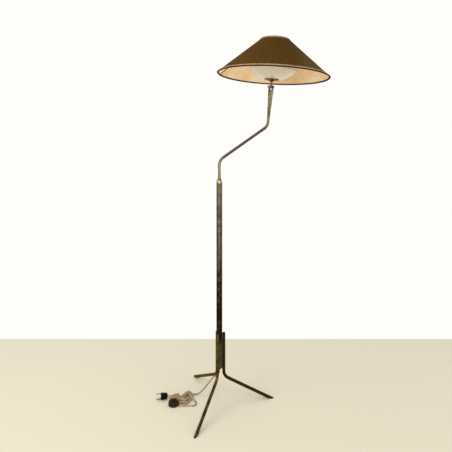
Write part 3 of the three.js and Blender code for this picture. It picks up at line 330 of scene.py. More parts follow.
def nut(name, across, bore, low, high, matrix):
    """A hexagon nut: a turned profile with a chamfer at each end, held inside a hexagon."""
    corner, start = across / np.sqrt(3), CHAMFER_START * (across / 2)
    rise = (corner - start) * 0.5
    edge = [(start + (corner - start) * s, rise * s) for s in (0, 0.3, 0.6, 1)]
    profile = [(bore / 2, low), *[(r, low + h) for r, h in edge], *[(r, high - h) for r, h in edge[::-1]]]
    return turned(name, [*profile, (bore / 2, high)], matrix, sides=72, ease=0, shape=hexagon(across))


def bent_line(corners, radius, steps):
    """Points and directions along straight stretches whose corners are rounded by arcs of one radius."""
    p = np.asarray(corners, float)
    way = unit(np.diff(p, axis=0))
    points, heads = [p[:1]], [way[:1]]
    for before, after, corner in zip(way[:-1], way[1:], p[1:-1]):
        turn = np.arccos(before @ after)
        a = np.linspace(0, turn, steps + 1)[:, None]
        inward = after - (after @ before) * before
        inward /= np.linalg.norm(inward)
        start = corner - radius * np.tan(turn / 2) * before
        points.append(start + radius * (np.sin(a) * before + (1 - np.cos(a)) * inward))
        heads.append(np.cos(a) * before + np.sin(a) * inward)
    return np.concatenate([*points, p[-1:]]), np.concatenate([*heads, way[-1:]])


def rings(line, heads, radius, sides, facing):
    """Rings of a round section square to a line, as a grid of points with their UV in metres.

    The point at angle a of a ring is the line's point plus radius times (cos a times the facing direction as
    far as it is square to the line, plus sin a times the direction square to both).
    """
    facing = np.asarray(facing, float)
    side = unit(facing - (heads @ facing)[:, None] * heads)
    other = np.cross(heads, side)
    turn = np.linspace(0, 2 * np.pi, sides + 1)
    radius = np.broadcast_to(radius, len(line)).astype(float)
    ring = np.cos(turn)[:, None] * side[:, None] + np.sin(turn)[:, None] * other[:, None]
    points = line[:, None] + radius[:, None, None] * ring
    return points, np.stack(np.broadcast_arrays(turn[None] * radius.max(), travelled(line)[:, None]), -1)


def capped(points, uv):
    """The same grid with a closing point before its first ring and after its last."""
    ends = [np.broadcast_to(points[end, :-1].mean(0), (1, *points.shape[1:])) for end in (0, -1)]
    return np.concatenate([ends[0], points, ends[1]]), np.concatenate([uv[:1], uv, uv[-1:]])


def along_line(name, line, heads, radius, sides, facing):
    """A round section carried along a line in metres and closed at both ends."""
    points, uv = rings(line, heads, radius, sides, facing)
    return surface(name, *capped(points, uv), sharp=50)


def joined(name, pieces):
    """Several pieces as the shells of one object."""
    work = bmesh.new()
    for piece in pieces:
        work.from_mesh(piece.data)
        bpy.data.objects.remove(piece)
    mesh = bpy.data.meshes.new(name)
    work.to_mesh(mesh)
    work.free()
    return linked(name, mesh)


def block(size, centre, matrix):
    """A plain cutter for carved(): a box of that size in millimetres round a centre."""
    corners = np.array([(-1, -1), (1, -1), (1, 1), (-1, 1), (-1, -1)], float)
    grid = np.stack([np.c_[s * corners, np.full(5, h)] for s, h in ((0, -1), (1, -1), (1, 1), (0, 1))])
    return surface("cutter", placed(grid * np.asarray(size) / 2 + centre, matrix))


def carved(piece, cutters):
    """The piece with its cutters taken away from it, by exact booleans."""
    for cutter in cutters:
        carve = piece.modifiers.new("carve", "BOOLEAN")
        carve.operation, carve.solver, carve.object = "DIFFERENCE", "EXACT", cutter
    bpy.context.view_layer.update()
    result = piece.evaluated_get(bpy.context.evaluated_depsgraph_get())
    mesh = bpy.data.meshes.new_from_object(result)
    name = piece.name
    for gone in (piece, *cutters):
        bpy.data.objects.remove(gone)
    return finished(name, mesh, sharp=30)


def refined(name, node):
    """A copy of a CAD node's own shape with its corners merged."""
    return finished(name, frame["nodes"][node].data.copy(), sharp=28)


def bevelled(piece):
    """The piece with its sharp edges broken by 0.3 mm, as filing and tumbling leave them."""
    edge = piece.modifiers.new("broken edges", "BEVEL")
    edge.width, edge.segments = 0.0003, 2
    edge.limit_method, edge.angle_limit = "ANGLE", np.radians(28)
    edge.harden_normals = True
    return piece


def coated(piece, made):
    """Gives a piece its one material."""
    piece.data.materials.clear()
    piece.data.materials.append(made)


def mounted(piece, body, made, slot, *nodes):
    """Gives a piece its material and its body, and hides the CAD nodes that it stands for. slot is not used.
    """
    coated(piece, made)
    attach(piece, body)
    if nodes:
        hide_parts(*nodes)
    return piece


def kept(node, made):
    """A CAD node whose shape is right as it is: it only gets a better material."""
    coated(frame["nodes"][node], made)


def smooth_line(corners, spacing):
    """A line through the corners with evenly spaced points: cubics whose ends share their slopes.

    Between corners a and b with slopes m and n, the point at share s is
    (1+2s)(1-s)^2 a + s(1-s)^2 hm + s^2(3-2s) b + s^2(s-1) hn, where h is the square root of their distance.
    """
    p = np.asarray(corners, float)
    gap = np.sqrt(np.linalg.norm(np.diff(p, axis=0), axis=1))
    knot = np.concatenate([[0], np.cumsum(gap)])
    slope = np.gradient(p, knot, axis=0)
    t = np.linspace(0, knot[-1], 40 * len(p))
    i = np.clip(np.searchsorted(knot, t, side="right") - 1, 0, len(p) - 2)
    h = (knot[i + 1] - knot[i])[:, None]
    s = (t[:, None] - knot[i][:, None]) / h
    line = (
        (1 + 2 * s) * (1 - s) ** 2 * p[i]
        + s * (1 - s) ** 2 * h * slope[i]
        + s**2 * (3 - 2 * s) * p[i + 1]
        + s**2 * (s - 1) * h * slope[i + 1]
    )
    return evenly(line, spacing)


def evenly(line, spacing):
    """The same line with points an even distance apart, as near to the spacing as divides its length."""
    along = travelled(line)
    count = max(2, int(round(along[-1] / spacing)) + 1)
    stops = np.linspace(0, along[-1], count)
    return np.stack([np.interp(stops, along, line[:, k]) for k in range(3)], -1)


def length_of(line):
    """The length of a line."""
    return float(np.linalg.norm(np.diff(line, axis=0), axis=1).sum())


# ------------------------------------------------------------------ materials

WHITE = (1, 1, 1, 1)
DARK = (0.1, 0.1, 0.1, 1)


class Value:
    """An output of a node. Arithmetic with it adds the Math nodes that work the result out."""

    def __init__(self, tree, socket):
        self.tree, self.socket = tree, socket

    def __add__(self, other):
        return self.tree.maths("ADD", self, other)

    def __sub__(self, other):
        return self.tree.maths("SUBTRACT", self, other)

    def __mul__(self, other):
        return self.tree.maths("MULTIPLY", self, other)

    def __truediv__(self, other):
        return self.tree.maths("DIVIDE", self, other)

    def __gt__(self, other):
        return self.tree.maths("GREATER_THAN", self, other)

    def __lt__(self, other):
        return self.tree.maths("LESS_THAN", self, other)


class Tree:
    """Adds nodes to a node tree and links them."""

    def __init__(self, tree):
        self.nodes, self.links = tree.nodes, tree.links

    def lead(self, value, socket):
        """Links a Value to an input, or sets the input to a plain value."""
        if isinstance(value, Value):
            self.links.new(value.socket, socket)
        else:
            socket.default_value = value

    def add(self, kind, settings=None, **values):
        """A new node. An input is given by its name, with _ for a space, or by _ and its place."""
        made = self.nodes.new("ShaderNode" + kind)
        for name, value in (settings or {}).items():
            setattr(made, name, value)
        for name, value in values.items():
            self.lead(value, made.inputs[int(name[1:]) if name[0] == "_" else name.replace("_", " ")])
        return made

    def read(self, output, kind, settings=None, **values):
        """One output of a new node."""
        return Value(self, self.add(kind, settings, **values).outputs[output])

    def maths(self, operation, *values):
        return self.read(0, "Math", {"operation": operation}, **{f"_{i}": v for i, v in enumerate(values)})

    def ranged(self, value, low, high, to_low=0.0, to_high=1.0):
        """The value carried from one range to another, and held inside it."""
        ends = dict(From_Min=low, From_Max=high, To_Min=to_low, To_Max=to_high)
        return self.read(0, "MapRange", Value=value, **ends)

    def clamped(self, value):
        return self.read(0, "Clamp", Value=value)

    def ridges(self, value):
        """|sin(pi * value)|: one round ridge between each two whole numbers."""
        return self.maths("ABSOLUTE", self.maths("SINE", value * np.pi))

    def mixed(self, share, first, second, blend="MIX"):
        return self.read(2, "Mix", {"data_type": "RGBA", "blend_type": blend}, _0=share, _6=first, _7=second)

    def dimmed(self, share, base, light):
        """A colour multiplied by a share of a grey light."""
        grey = self.read(0, "CombineColor", Red=light, Green=light, Blue=light)
        return self.mixed(share, base, grey, "MULTIPLY")

    def noise(self, where, scale, detail=3.0, roughness=0.55):
        return self.read("Fac", "TexNoise", Vector=where, Scale=scale, Detail=detail, Roughness=roughness)

    def stretched(self, where, scale):
        return self.read(0, "Mapping", Vector=where, Scale=scale)

    def place(self):
        """Where a point of the piece is, in metres in the model's frame."""
        return self.read("Object", "TexCoord")

    def cloth(self):
        """Where a point of the piece is on its own map, in metres: round it, and along its profile."""
        return self.read(0, "UVMap", {"uv_map": "Cloth"})

    def parts(self, vector):
        """The three numbers of a vector."""
        return [Value(self, socket) for socket in self.add("SeparateXYZ", Vector=vector).outputs]


SHARED = {}


def effect(tree, formula, **values):
    """The outputs, by name, of a shader group placed in a material's tree with its own values.

    The group is made the first time that it is wanted. Its inputs are the formula's keyword arguments with
    their defaults, and its outputs are what the formula returns by name.
    """
    if formula not in SHARED:
        title = formula.__name__.replace("_", " ")
        made = SHARED[formula] = bpy.data.node_groups.new(title, "ShaderNodeTree")
        for name, default in formula.__kwdefaults__.items():
            kind = "NodeSocketFloat" if isinstance(default, float) else "NodeSocketColor"
            made.interface.new_socket(name, in_out="INPUT", socket_type=kind).default_value = default
        inside, entry = Tree(made), made.nodes.new("NodeGroupInput")
        given = {name: Value(inside, entry.outputs[name]) for name in formula.__kwdefaults__}
        results = formula(inside, **given)
        for name, value in results.items():
            kind = "NodeSocketColor" if value.socket.type == "RGBA" else "NodeSocketFloat"
            made.interface.new_socket(name, in_out="OUTPUT", socket_type=kind)
        out = made.nodes.new("NodeGroupOutput")
        for name, value in results.items():
            inside.lead(value, out.inputs[name])
    group = tree.add("Group", {"node_tree": SHARED[formula]}, **values)
    return {socket.name: Value(tree, socket) for socket in group.outputs}


def old_metal(t, *, clean=WHITE, tarnish=DARK, amount=0.5, extra=0.0, smooth=0.25, dull=0.5):
    """Metal that has been handled for years: blotches of tarnish, fine specks, and faint marks of drawing.

    Share of tarnish colour = amount * (blotches * (clouds + 0.45) + specks / 2) + extra, where each of the
    others is a noise stretched from a narrow range, and extra comes from the material: on the column and the
    legs it is painted shade in part or in whole.
    """
    where = t.place()
    blotch = t.ranged(t.noise(where, 38, 5, 0.62), 0.36, 0.68)
    cloud = t.ranged(t.noise(where, 9, 3), 0.3, 0.7)
    speck = t.ranged(t.noise(where, 620, 2, 0.6), 0.6, 0.74)
    drawn = t.noise(t.stretched(where, (900, 900, 14)), 1, 2)
    share = (blotch * cloud + blotch * 0.45) * amount + speck * (amount * 0.5)
    share = t.clamped(share + extra)
    return {
        "color": t.dimmed(0.6, t.mixed(share, clean, tarnish), t.ranged(drawn, 0.3, 0.7, 0.86, 1.1)),
        "roughness": smooth + share * (dull - smooth) + t.ranged(drawn, 0.3, 0.7, -0.04, 0.05),
        "height": drawn * 0.3 - speck * 0.8,
    }


def threads(t, *, color=WHITE, deep=DARK, rib=0.001, thread=0.0006, slub=0.5):
    """A plain weave read from a UV map in metres: slubbed ribs one way, finer threads the other way.

    Rib height = |sin(pi * across / rib)|, thread height = |sin(pi * along / thread)|. The ribs are bent by a
    noise that is long along their own direction, as yarn of uneven thickness is.
    """
    where = t.cloth()
    u, v, _ = t.parts(where)
    slubs = t.noise(t.stretched(where, (620, 9, 1)), 1, 3, 0.6)
    fine = t.noise(t.stretched(where, (1500, 60, 1)), 1, 2, 0.6)
    cross = t.noise(t.stretched(where, (40, 1100, 1)), 1, 2)
    height = t.ridges(u / rib) * t.ranged(slubs, 0.25, 0.75, 0.45, 1.2) + t.ridges(v / thread) * 0.3
    streak = t.ranged(slubs, 0.3, 0.7) * slub + t.ranged(fine, 0.3, 0.7) * 0.25
    streak = streak + t.ranged(cross, 0.3, 0.7) * 0.12
    # the colour goes towards deep with the yarn's slubs and, as painted shade, in the hollows between ribs
    return {"color": t.mixed(t.clamped(streak * 0.75 + height * 0.3), deep, color), "height": height}


def plait(t, *, color=WHITE, second=DARK, strand=0.0012, every=4.0, worn=0.3):
    """Strands that cross on a slant, read from a UV map in metres, as on a woven flex or a dress braid.

    Two families of strands run at plus and minus the slant; each is |sin| of the distance across it, and the
    higher one shows. Every few strands of one family are of the second colour.
    """
    where = t.cloth()
    u, v, _ = t.parts(where)
    counts = [(u + v) / strand, (u - v) / strand]
    ridges = [t.ridges(count) for count in counts]
    turn = t.maths("FRACT", t.maths("FLOOR", counts[0]) / every)
    marked = (turn < t.maths("DIVIDE", 0.6, every)) * (ridges[0] > ridges[1])
    height = t.maths("MAXIMUM", *ridges)
    # painted shade in the hollows between strands, and a faint painted highlight on their crowns
    yarn = t.dimmed(1.0, t.mixed(marked, color, second), t.ranged(height, 0.35, 0.95, 0.45, 1.08))
    grime = t.ranged(t.noise(t.stretched(where, (60, 22, 1)), 1, 4, 0.6), 0.42, 0.75) * worn
    return {"color": t.mixed(grime, yarn, second), "height": height}


def clouds(t, *, color=WHITE, other=DARK, size=20.0, grain=900.0, strength=0.5):
    """Soft mottling of a plain material: broad clouds between two colours, with fine grain on top."""
    where = t.place()
    broad = t.ranged(t.noise(where, size, 5, 0.6), 0.32, 0.7)
    fine = t.noise(where, grain, 3, 0.6)
    share = t.clamped(broad * strength + t.ranged(fine, 0.35, 0.65) * 0.12)
    return {"color": t.mixed(share, color, other), "broad": broad, "height": fine}


def emptied(owner):
    """The node tree of a material or a world with nothing in it."""
    owner.use_nodes = True
    owner.node_tree.nodes.clear()
    return Tree(owner.node_tree)


def material(name, **values):
    """A new material with its Principled shader, as (material, tree, shader)."""
    made = bpy.data.materials.new(name)
    tree = emptied(made)
    shader = tree.add("BsdfPrincipled", **values)
    tree.add("OutputMaterial", Surface=Value(tree, shader.outputs[0]))
    return made, tree, shader


def skinned(tree, shader, base, height, depth, rough=None, strength=1.0):
    """Leads a colour, a height (through a Bump node of a depth in metres) and any roughness into a shader."""
    bump = tree.read(0, "Bump", Height=height, Distance=depth, Strength=strength)
    for value, name in ((base, "Base Color"), (bump, "Normal"), (rough, "Roughness")):
        if value is not None:
            tree.lead(value, shader.inputs[name])


def metal(name, clean, tarnish, amount, smooth, dull, extra=None, rim=WHITE):
    """A metal with old_metal on it. extra, made by a function of the tree, adds to the tarnish colour where
    it is high; on the column and the legs that is painted shade in part or in whole.

    rim is the colour at a grazing angle: under a brown patina it is darker than clean brass has it.
    """
    made, tree, shader = material(name, Metallic=1.0, Specular_Tint=rim)
    more = extra(tree) if extra else 0.0
    out = effect(
        tree, old_metal, clean=clean, tarnish=tarnish, amount=amount, smooth=smooth, dull=dull, extra=more
    )
    skinned(tree, shader, out["color"], out["height"], 0.00012, out["roughness"])
    return made


def moulded(name, base, rough, gloss=0.12):
    """Moulded plastic or rubber: a faintly mottled colour, a pitted skin, and gloss worn down unevenly."""
    made, tree, shader = material(name, Specular_IOR_Level=gloss)
    lighter = (*(1.9 * c for c in base[:3]), 1)
    out = effect(tree, clouds, color=base, other=lighter, size=90.0, grain=700.0, strength=0.35)
    worn = tree.ranged(out["broad"], 0, 1, rough - 0.06, rough + 0.12)
    skinned(tree, shader, out["color"], out["height"], 0.00006, worn)
    return made


# ------------------------------------------------------------------ camera, light and floor

FILM_WIDTH, LENS = 36, 34.247787  # millimetres
EYE = Vector((0.0285, -1.838, 1.15))  # the camera's place, from the foot of the column
SHIFT_DOWN = 0.2058  # how far the frame is shifted down, as a share of its width
FLOOR_LEVEL = -0.0002  # a hair under what stands on it
FLOOR_BACK = 0.563  # from the column to the floor's far edge
AREA_LIGHTS = (  # name, place, size and power
    ("left window", (-2.2, -1.2, 2.4), 1.8, 30),
    ("right fill", (2.2, -1.6, 1.6), 1.6, 12),
    ("ceiling", (0, 0.2, 3.4), 2.2, 16),
    ("low fill", (-0.4, -2.4, 0.3), 1.4, 20),
)
LIT_PLACE = Vector((0, 0, 0.8))  # what every light faces


class LAMP_OT_stage(bpy.types.Operator):
    """Add the floor, the light and the camera"""

    bl_idname = "lamp.stage"
    bl_label = "Floor, light and camera"

    def execute(self, context):
        scene, finishes = context.scene, context.scene.lamp_finishes
        scene.view_settings.view_transform = "Standard"
        camera = bpy.data.cameras.new("camera")
        camera.sensor_width, camera.lens, camera.shift_y = FILM_WIDTH, LENS, -SHIFT_DOWN
        scene.camera = linked("camera", camera)
        scene.camera.location = COLUMN_AXIS + EYE
        scene.camera.rotation_euler = (np.radians(90), 0, 0)

        corners = [[(x, y, FLOOR_LEVEL) for x in (-4, 4)] for y in (-5, COLUMN_AXIS.y + FLOOR_BACK)]
        floor = surface("floor", np.array(corners))
        made, _, shader = material("floor paint", Roughness=0.85)
        shader.inputs["Base Color"].default_value = finishes.floor
        coated(floor, made)

        scene.world = bpy.data.worlds.new("studio")
        sky = emptied(scene.world)
        path = sky.add("LightPath").outputs
        camera_ray, glossy, through = (
            Value(sky, path[name]) for name in ("Is Camera Ray", "Is Glossy Ray", "Is Transmission Ray")
        )
        seen = sky.maths("MAXIMUM", sky.maths("MAXIMUM", camera_ray, glossy), through)
        light = sky.read(0, "Background", Color=(1, 0.985, 0.96, 1), Strength=0.66)
        wall = sky.read(0, "Background", Color=finishes.wall, Strength=1)
        sky.add("OutputWorld", Surface=sky.read(0, "MixShader", Fac=seen, _1=light, _2=wall))

        for name, place, size, power in AREA_LIGHTS:
            lamp = bpy.data.lights.new(name, "AREA")
            lamp.size, lamp.energy = size, power
            source = linked(name, lamp)
            source.location = place
            source.rotation_euler = (LIT_PLACE - source.location).to_track_quat("-Z", "Y").to_euler()
        return {"FINISHED"}


# ------------------------------------------------------------------ flex

POINTS_A_TURN = 48  # of a hank's loops, before they are smoothed
SPACING = 0.0022  # metres between the points of a flex's line
REST = 2.65  # height of the flex's middle where it lies on the floor, in millimetres


def loops(centre, heading, start, turns, lanes, turning):
    """Loops of a hank, seen from above: each is an oval of two straight runs and two half rounds.

    The point at share s of a turn lies at angle start + s * 360 degrees round the oval, with the half
    length, half width, height and shifts along and aside of the lane it has reached. These change evenly over
    the last quarter of each turn.
    """
    share = np.arange(int(turns * POINTS_A_TURN) + 1) / POINTS_A_TURN
    lane = np.minimum(share.astype(int), len(lanes) - 1)
    after = np.minimum(lane + 1, len(lanes) - 1)
    ease = np.clip((share - lane) * 4 - 3, 0, 1)
    ease = (ease * ease * (3 - 2 * ease))[:, None]
    lanes = np.asarray(lanes, float)
    half, width, height, shift, aside = (lanes[lane] * (1 - ease) + lanes[after] * ease).T
    angle = start + turning * share * 2 * np.pi
    along = np.cos(angle) * width + np.tanh(3 * np.cos(angle)) * (half - width) + shift
    across = np.sin(angle) * width + aside
    c, s = np.cos(heading), np.sin(heading)
    return np.stack([centre[0] + c * along - s * across, centre[1] + s * along + c * across, height], -1)


def settled(line, radius, held, least_bend, rounds):
    """The line as a limp cord lies when it is let go, of the same length, sunk onto itself and the floor.

    Each round sinks every free point a little. Then, six times over, it pushes apart stretches nearer than
    a diameter, opens what is bent tighter than the least bend over one, two and four steps, moves neighbours
    back to their spacing, and lifts what is under the floor. held marks the points that stay where they are.
    """
    sink, hair = 0.00003, 0.0001  # metres: how far a round sinks a point, and the gap left over the floor
    near, clear = 3.0 * radius, 2 * radius * 1.02  # which stretches may push, and how far apart they end up
    push_by, open_by = 1.6, 0.7  # a push is spread thin, so it is scaled up; the opening of a bend is damped
    bows = ((4, 0.01), (2, 0.05), (1, 0.25))  # steps either way, and the share of any bow that is opened
    search_every, passes = 5, 6
    p, spacing = line.copy(), length_of(line) / (len(line) - 1)
    free = (~held).astype(float)[:, None]
    apart = int(np.ceil(2.4 * np.pi * radius / spacing))  # points nearer than this along the line never push
    index = np.arange(len(p))
    window = np.hanning(13)[1:-1]
    window /= window.sum()
    for turn in range(rounds):
        p[:, 2] -= sink * free[:, 0]
        if turn % search_every == 0:
            far = np.linalg.norm(p[:, None] - p[None], axis=2)
            a, b = np.nonzero((far < near) & (index[None] - index[:, None] > apart))
        for _ in range(passes):
            gap = p[b] - p[a]
            size = np.maximum(np.linalg.norm(gap, axis=1)[:, None], 1e-6)
            push = np.maximum(clear - size, 0) / size * gap / 2
            hit = (push**2).sum(1)[:, None] > 0
            move, count = np.zeros_like(p), np.zeros((len(p), 1))
            for end, way in ((a, -1), (b, 1)):
                np.add.at(move, end, way * push)
                np.add.at(count, end, hit.astype(float))
            move /= np.maximum(count, 1)
            # a stiff cord moves as a stretch, so each push is spread over its neighbours
            p += push_by * np.stack([np.convolve(move[:, k], window, "same") for k in range(3)], -1) * free
            for step, limp in bows:
                bow = (p[2 * step:] + p[:-2 * step]) / 2 - p[step:-step]
                size = np.maximum(np.linalg.norm(bow, axis=1)[:, None], 1e-9)
                most = (step * spacing) ** 2 / (2 * least_bend)  # how far a round of that radius bows
                open_up = bow * (np.maximum(size - most, 0) / size * 0.35 + limp) * open_by
                p[step:-step] += open_up * free[step:-step]
                p[2 * step:] -= 0.5 * open_up * free[2 * step:]
                p[:-2 * step] -= 0.5 * open_up * free[:-2 * step]
            for first in (0, 1):
                i = index[first:-1:2]
                gap = p[i + 1] - p[i]
                size = np.linalg.norm(gap, axis=1)[:, None]
                move = gap * (1 - spacing / size)
                share = np.maximum(free[i] + free[i + 1], 1)
                p[i] += move * free[i] / share
                p[i + 1] -= move * free[i + 1] / share
            p[:, 2] += np.maximum(radius + hair - p[:, 2], 0) * free[:, 0]
    return p


def mm(points):
    """Points given in millimetres from the foot of the column, in metres in the model's frame."""
    return np.asarray(points, float) / 1000 + np.array(COLUMN_AXIS)


SWITCH_AT = (-193.5, -18.5)  # millimetres from the column's axis
NOZZLES = {"inlet": -20, "outlet": 94}  # their headings in degrees
NOZZLE_HEIGHT = 4.9  # of their middle line over the floor
PLUG_AT, PLUG_HEADING = (-238, 20, 13.7), np.radians(8)
HANK = ((-144.5, 17), np.radians(65))  # middle and heading
PLUG_HANK = ((-192, 30), np.radians(10))


def switch_frame(height=0.0):
    """A frame at the foot switch, at a height in millimetres over the floor, with Z up."""
    return STAND @ Matrix.Translation([v / 1000 for v in (*SWITCH_AT, height)])


def lead_route():
    """From the grommet down to the floor, round the main hank, and over a small loop to the switch."""
    drop = 140.2 - REST  # from the grommet to where the flex lies
    way = (  # x, y, and how much of the drop is left
        (0, 0, 1), (0, 0, 0.95), (-1.5, 0.6, 0.89), (-7, 3, 0.83), (-16, 7, 0.77), (-27, 12, 0.7),
        (-38.5, 20, 0.56), (-51.8, 28, 0.41), (-65, 36, 0.26), (-78, 43, 0.13), (-90, 47.5, 0.045),
        (-101, 50, 0.008), (-110, 50.5, 0), (-119, 51.5, 0),
    )
    down = [(x, y, REST + share * drop) for x, y, share in way]
    lanes = (  # half length, half width, height, shift along and shift aside
        (38, 12, REST, 0, -7.5), (38, 12, 7.3, 0, 7.5), (36, 12.3, 10, 0, 7.5), (38, 12.3, 12.5, 0, -7.5),
        (36, 12, 14.5, 0, -1), (37, 12, 17, 0, 2), (37, 12, 18, 0, 2),
    )
    turns = loops(*HANK, np.radians(20), 5.96, lanes, 1)
    away = [
        (-120, 11, 14), (-111, 3.5, 5.5), (-103, -4.5, REST), (-98.5, -12.5, REST), (-99.5, -21.5, REST),
        (-108, -27.5, REST), (-121, -28.5, REST), (-135, -29.5, REST), (-150, -32, REST + 0.6),
    ]
    return down, turns, away + into_switch(NOZZLES["inlet"], (31.8, 24.2))


def tail_route():
    """From the switch into the small hank, round it, and up into the nose of the plug."""
    start = into_switch(NOZZLES["outlet"], (25.8, 29.8)) + [(-195.8, 22, REST), (-196, 30, REST)]
    lanes = ((21, 11.2, REST, 0, 0), (24, 12.4, 7.2, 0, 0.5), (22.5, 11.4, 11.8, -2, 0))
    turns = loops(*PLUG_HANK, np.radians(75), 2.35, lanes, -1)
    x, y, height = PLUG_AT
    nose = [(x + r * np.cos(PLUG_HEADING), y + r * np.sin(PLUG_HEADING), height) for r in (21.3, 15.3)]
    return start, turns, [(-209, 25, 13.4), *nose]


def into_switch(heading, reaches):
    """Points on the middle line of a nozzle of the switch, at those distances from the switch's middle."""
    turn, (x, y) = np.radians(heading), SWITCH_AT
    return [(x + r * np.cos(turn), y + r * np.sin(turn), NOZZLE_HEIGHT) for r in reaches]


def woven_flex(finishes):
    """Plaited gold thread with every fifth strand brown, darkened by painted shade on the stretch next to the
    column.
    """
    made, tree, shader = material("woven flex", Roughness=0.85, Specular_IOR_Level=0.2)
    out = effect(
        tree, plait, color=finishes.flex, second=shown(92, 62, 30), strand=0.0013, every=5.0, worn=0.5
    )
    x = tree.parts(tree.place())[0]
    # painted shade: the stretch from the hank to the column is mixed darker
    lead_painted_shade = tree.ranged(x, COLUMN_AXIS.x - 0.12, COLUMN_AXIS.x - 0.104, 0, 0.6)
    skinned(tree, shader, tree.mixed(lead_painted_shade, out["color"], shown(104, 80, 52)), out["height"], 0.0003)
    return made


class LAMP_OT_flex(bpy.types.Operator):
    """Add the flex from the column to its foot switch, and from there to the plug"""

    bl_idname = "lamp.flex"
    bl_label = "Flex"

    def execute(self, context):
        sizes, finishes = context.scene.lamp_flex, context.scene.lamp_finishes
        radius = sizes.diameter / 2
        made = woven_flex(finishes)
        to_switch = ("cord_lead_in", "cord_hank", "cord_to_switch")
        to_plug = ("cord_from_switch", "cord_plug_hank", "cord_to_plug")
        switch = ("foot_switch_base", "foot_switch_cover", "foot_switch_button")
        plug = ("plug_moulding", "plug_pin_high", "plug_pin_low")
        # name, route, how many of its points are held at each end, nodes, stated length, and what it leads to
        for name, route, first, last, nodes, stated, kind, pieces in (
            ("flex_to_switch", lead_route(), 13, 7, to_switch, sizes.lead, "fitting", switch),
            ("flex_to_plug", tail_route(), 3, 2, to_plug, sizes.tail, "plug", plug),
        ):
            before, turns, after = route
            line = smooth_line(mm([*before, *turns, *after]), SPACING)
            reach = [length_of(smooth_line(mm(part), SPACING)) for part in (before[:first], after[-last:])]
            along = np.linspace(0, length_of(line), len(line))
            held = (along < reach[0]) | (along > along[-1] - reach[1])
            line = settled(line, radius, held, 2.96 * sizes.diameter, 300)
            heads = unit(np.gradient(line, axis=0))
            piece = along_line(name, line, heads, radius, 16, (0.5, 0.3, 0.81))
            mounted(piece, "stand", made, "gold_flex", *nodes)
        kept("flex_in_column", made)
        kept("flex_in_arm", made)
        return {"FINISHED"}


# ------------------------------------------------------------------ column and legs

PATINA = (0.7, 0.6, 0.45, 1)  # what brown patina gives back at a grazing angle


def column_tarnish(tree):
    """The column gets darker downwards, partly as patina and partly as painted shade, and is lighter where
    the legs stand round it.
    """
    height = tree.parts(tree.place())[2]
    return tree.ranged(height, 0.9, 0.36, -0.25, 0.82) - tree.ranged(height, 0.285, 0.255, 0, 0.75)


def leg_tarnish(tree):
    """Painted shade: the right leg is the darkest, and the front leg gets darker where it slopes away."""
    x, y, _ = tree.parts(tree.place())
    right = tree.ranged(x, COLUMN_AXIS.x + 0.004, COLUMN_AXIS.x + 0.01, 0, 0.85)
    return right + tree.ranged(y, COLUMN_AXIS.y - 0.022, COLUMN_AXIS.y - 0.05, 0, 0.45)


class LAMP_OT_column(bpy.types.Operator):
    """Add the column with its end plug, grommet, collar and collar screw"""

    bl_idname = "lamp.column"
    bl_label = "Column"

    def execute(self, context):
        sizes, finishes = millimetres(context.scene.lamp_stand), context.scene.lamp_finishes
        foot, top, outer = sizes.column_foot, sizes.column_top, sizes.column / 2
        inner = outer - 1.5
        dark = metal(
            "patinated brass", finishes.column, shown(38, 26, 8), 0.7, 0.3, 0.5, column_tarnish, PATINA
        )
        bright = metal("polished brass", finishes.bright, shown(140, 112, 66), 0.35, 0.16, 0.4)
        back = frame_at(STAND @ Vector((0, 0, (top - 14) / 1000)), (1, 0, 0), (0, 1, 0))  # the collar screw's
        tube = carved(turned("column", sleeve(inner, outer, foot, top), STAND, 96), [drill(3.8, 7, 25, back)])
        mounted(tube, "stand", dark, "dark_brass", "column_tube")

        plug = [
            (5.5, foot - 2.8), (outer - 0.8, foot - 2.8), (outer, foot - 2), (outer, foot - 0.3),
            (inner - 0.3, foot - 0.3), (inner - 0.3, foot + 12), (5.5, foot + 12),
        ]
        mounted(turned("column_plug", plug, STAND), "stand", dark, "dark_brass", "column_end_plug")
        under = foot - 3.1
        grommet = [
            (2.8, under - 6), (3.9, under - 6), (4.5, under - 3), (5.2, under - 2.2), (6.3, under - 2),
            (7, under - 1.3), (7, under), (5.2, under), (5.2, foot + 12), (2.8, foot + 12),
        ]
        black = moulded("black moulding", finishes.plug, 0.34)
        mounted(turned("grommet", grommet, STAND, 48), "stand", black, "black_bakelite", "cord_grommet")

        shoulder, bore, dome = outer + 0.4, 6.35, 4.4
        collar = [
            (bore, top - 32), (inner - 0.3, top - 32), (inner - 0.3, top + 0.3), (shoulder, top + 0.3),
            (shoulder, top + 9.6), *arc(shoulder - dome, top + 14 - dome, dome, 0, 90, 12), (bore, top + 14),
        ]
        made = carved(turned("collar", collar, STAND, 96), [drill(2.3, 7, 25, back)])
        mounted(made, "stand", bright, "bright_brass", "column_collar")
        screw = [(0, 6.7), (2, 6.7), (2, 11.3), (3.5, 11.3), (3.5, 12.3), (0, 12.3)]
        slot = block((8, 1.1, 1.6), (0, 0, 12.3), back)
        made = carved(turned("collar_grub", screw, back, 48, 0.15), [slot])
        mounted(made, "stand", dark, "aged_brass", "collar_screw")
        kept("guide_bush", moulded("vulcanised fibre", shown(112, 76, 48), 0.7))
        return {"FINISHED"}


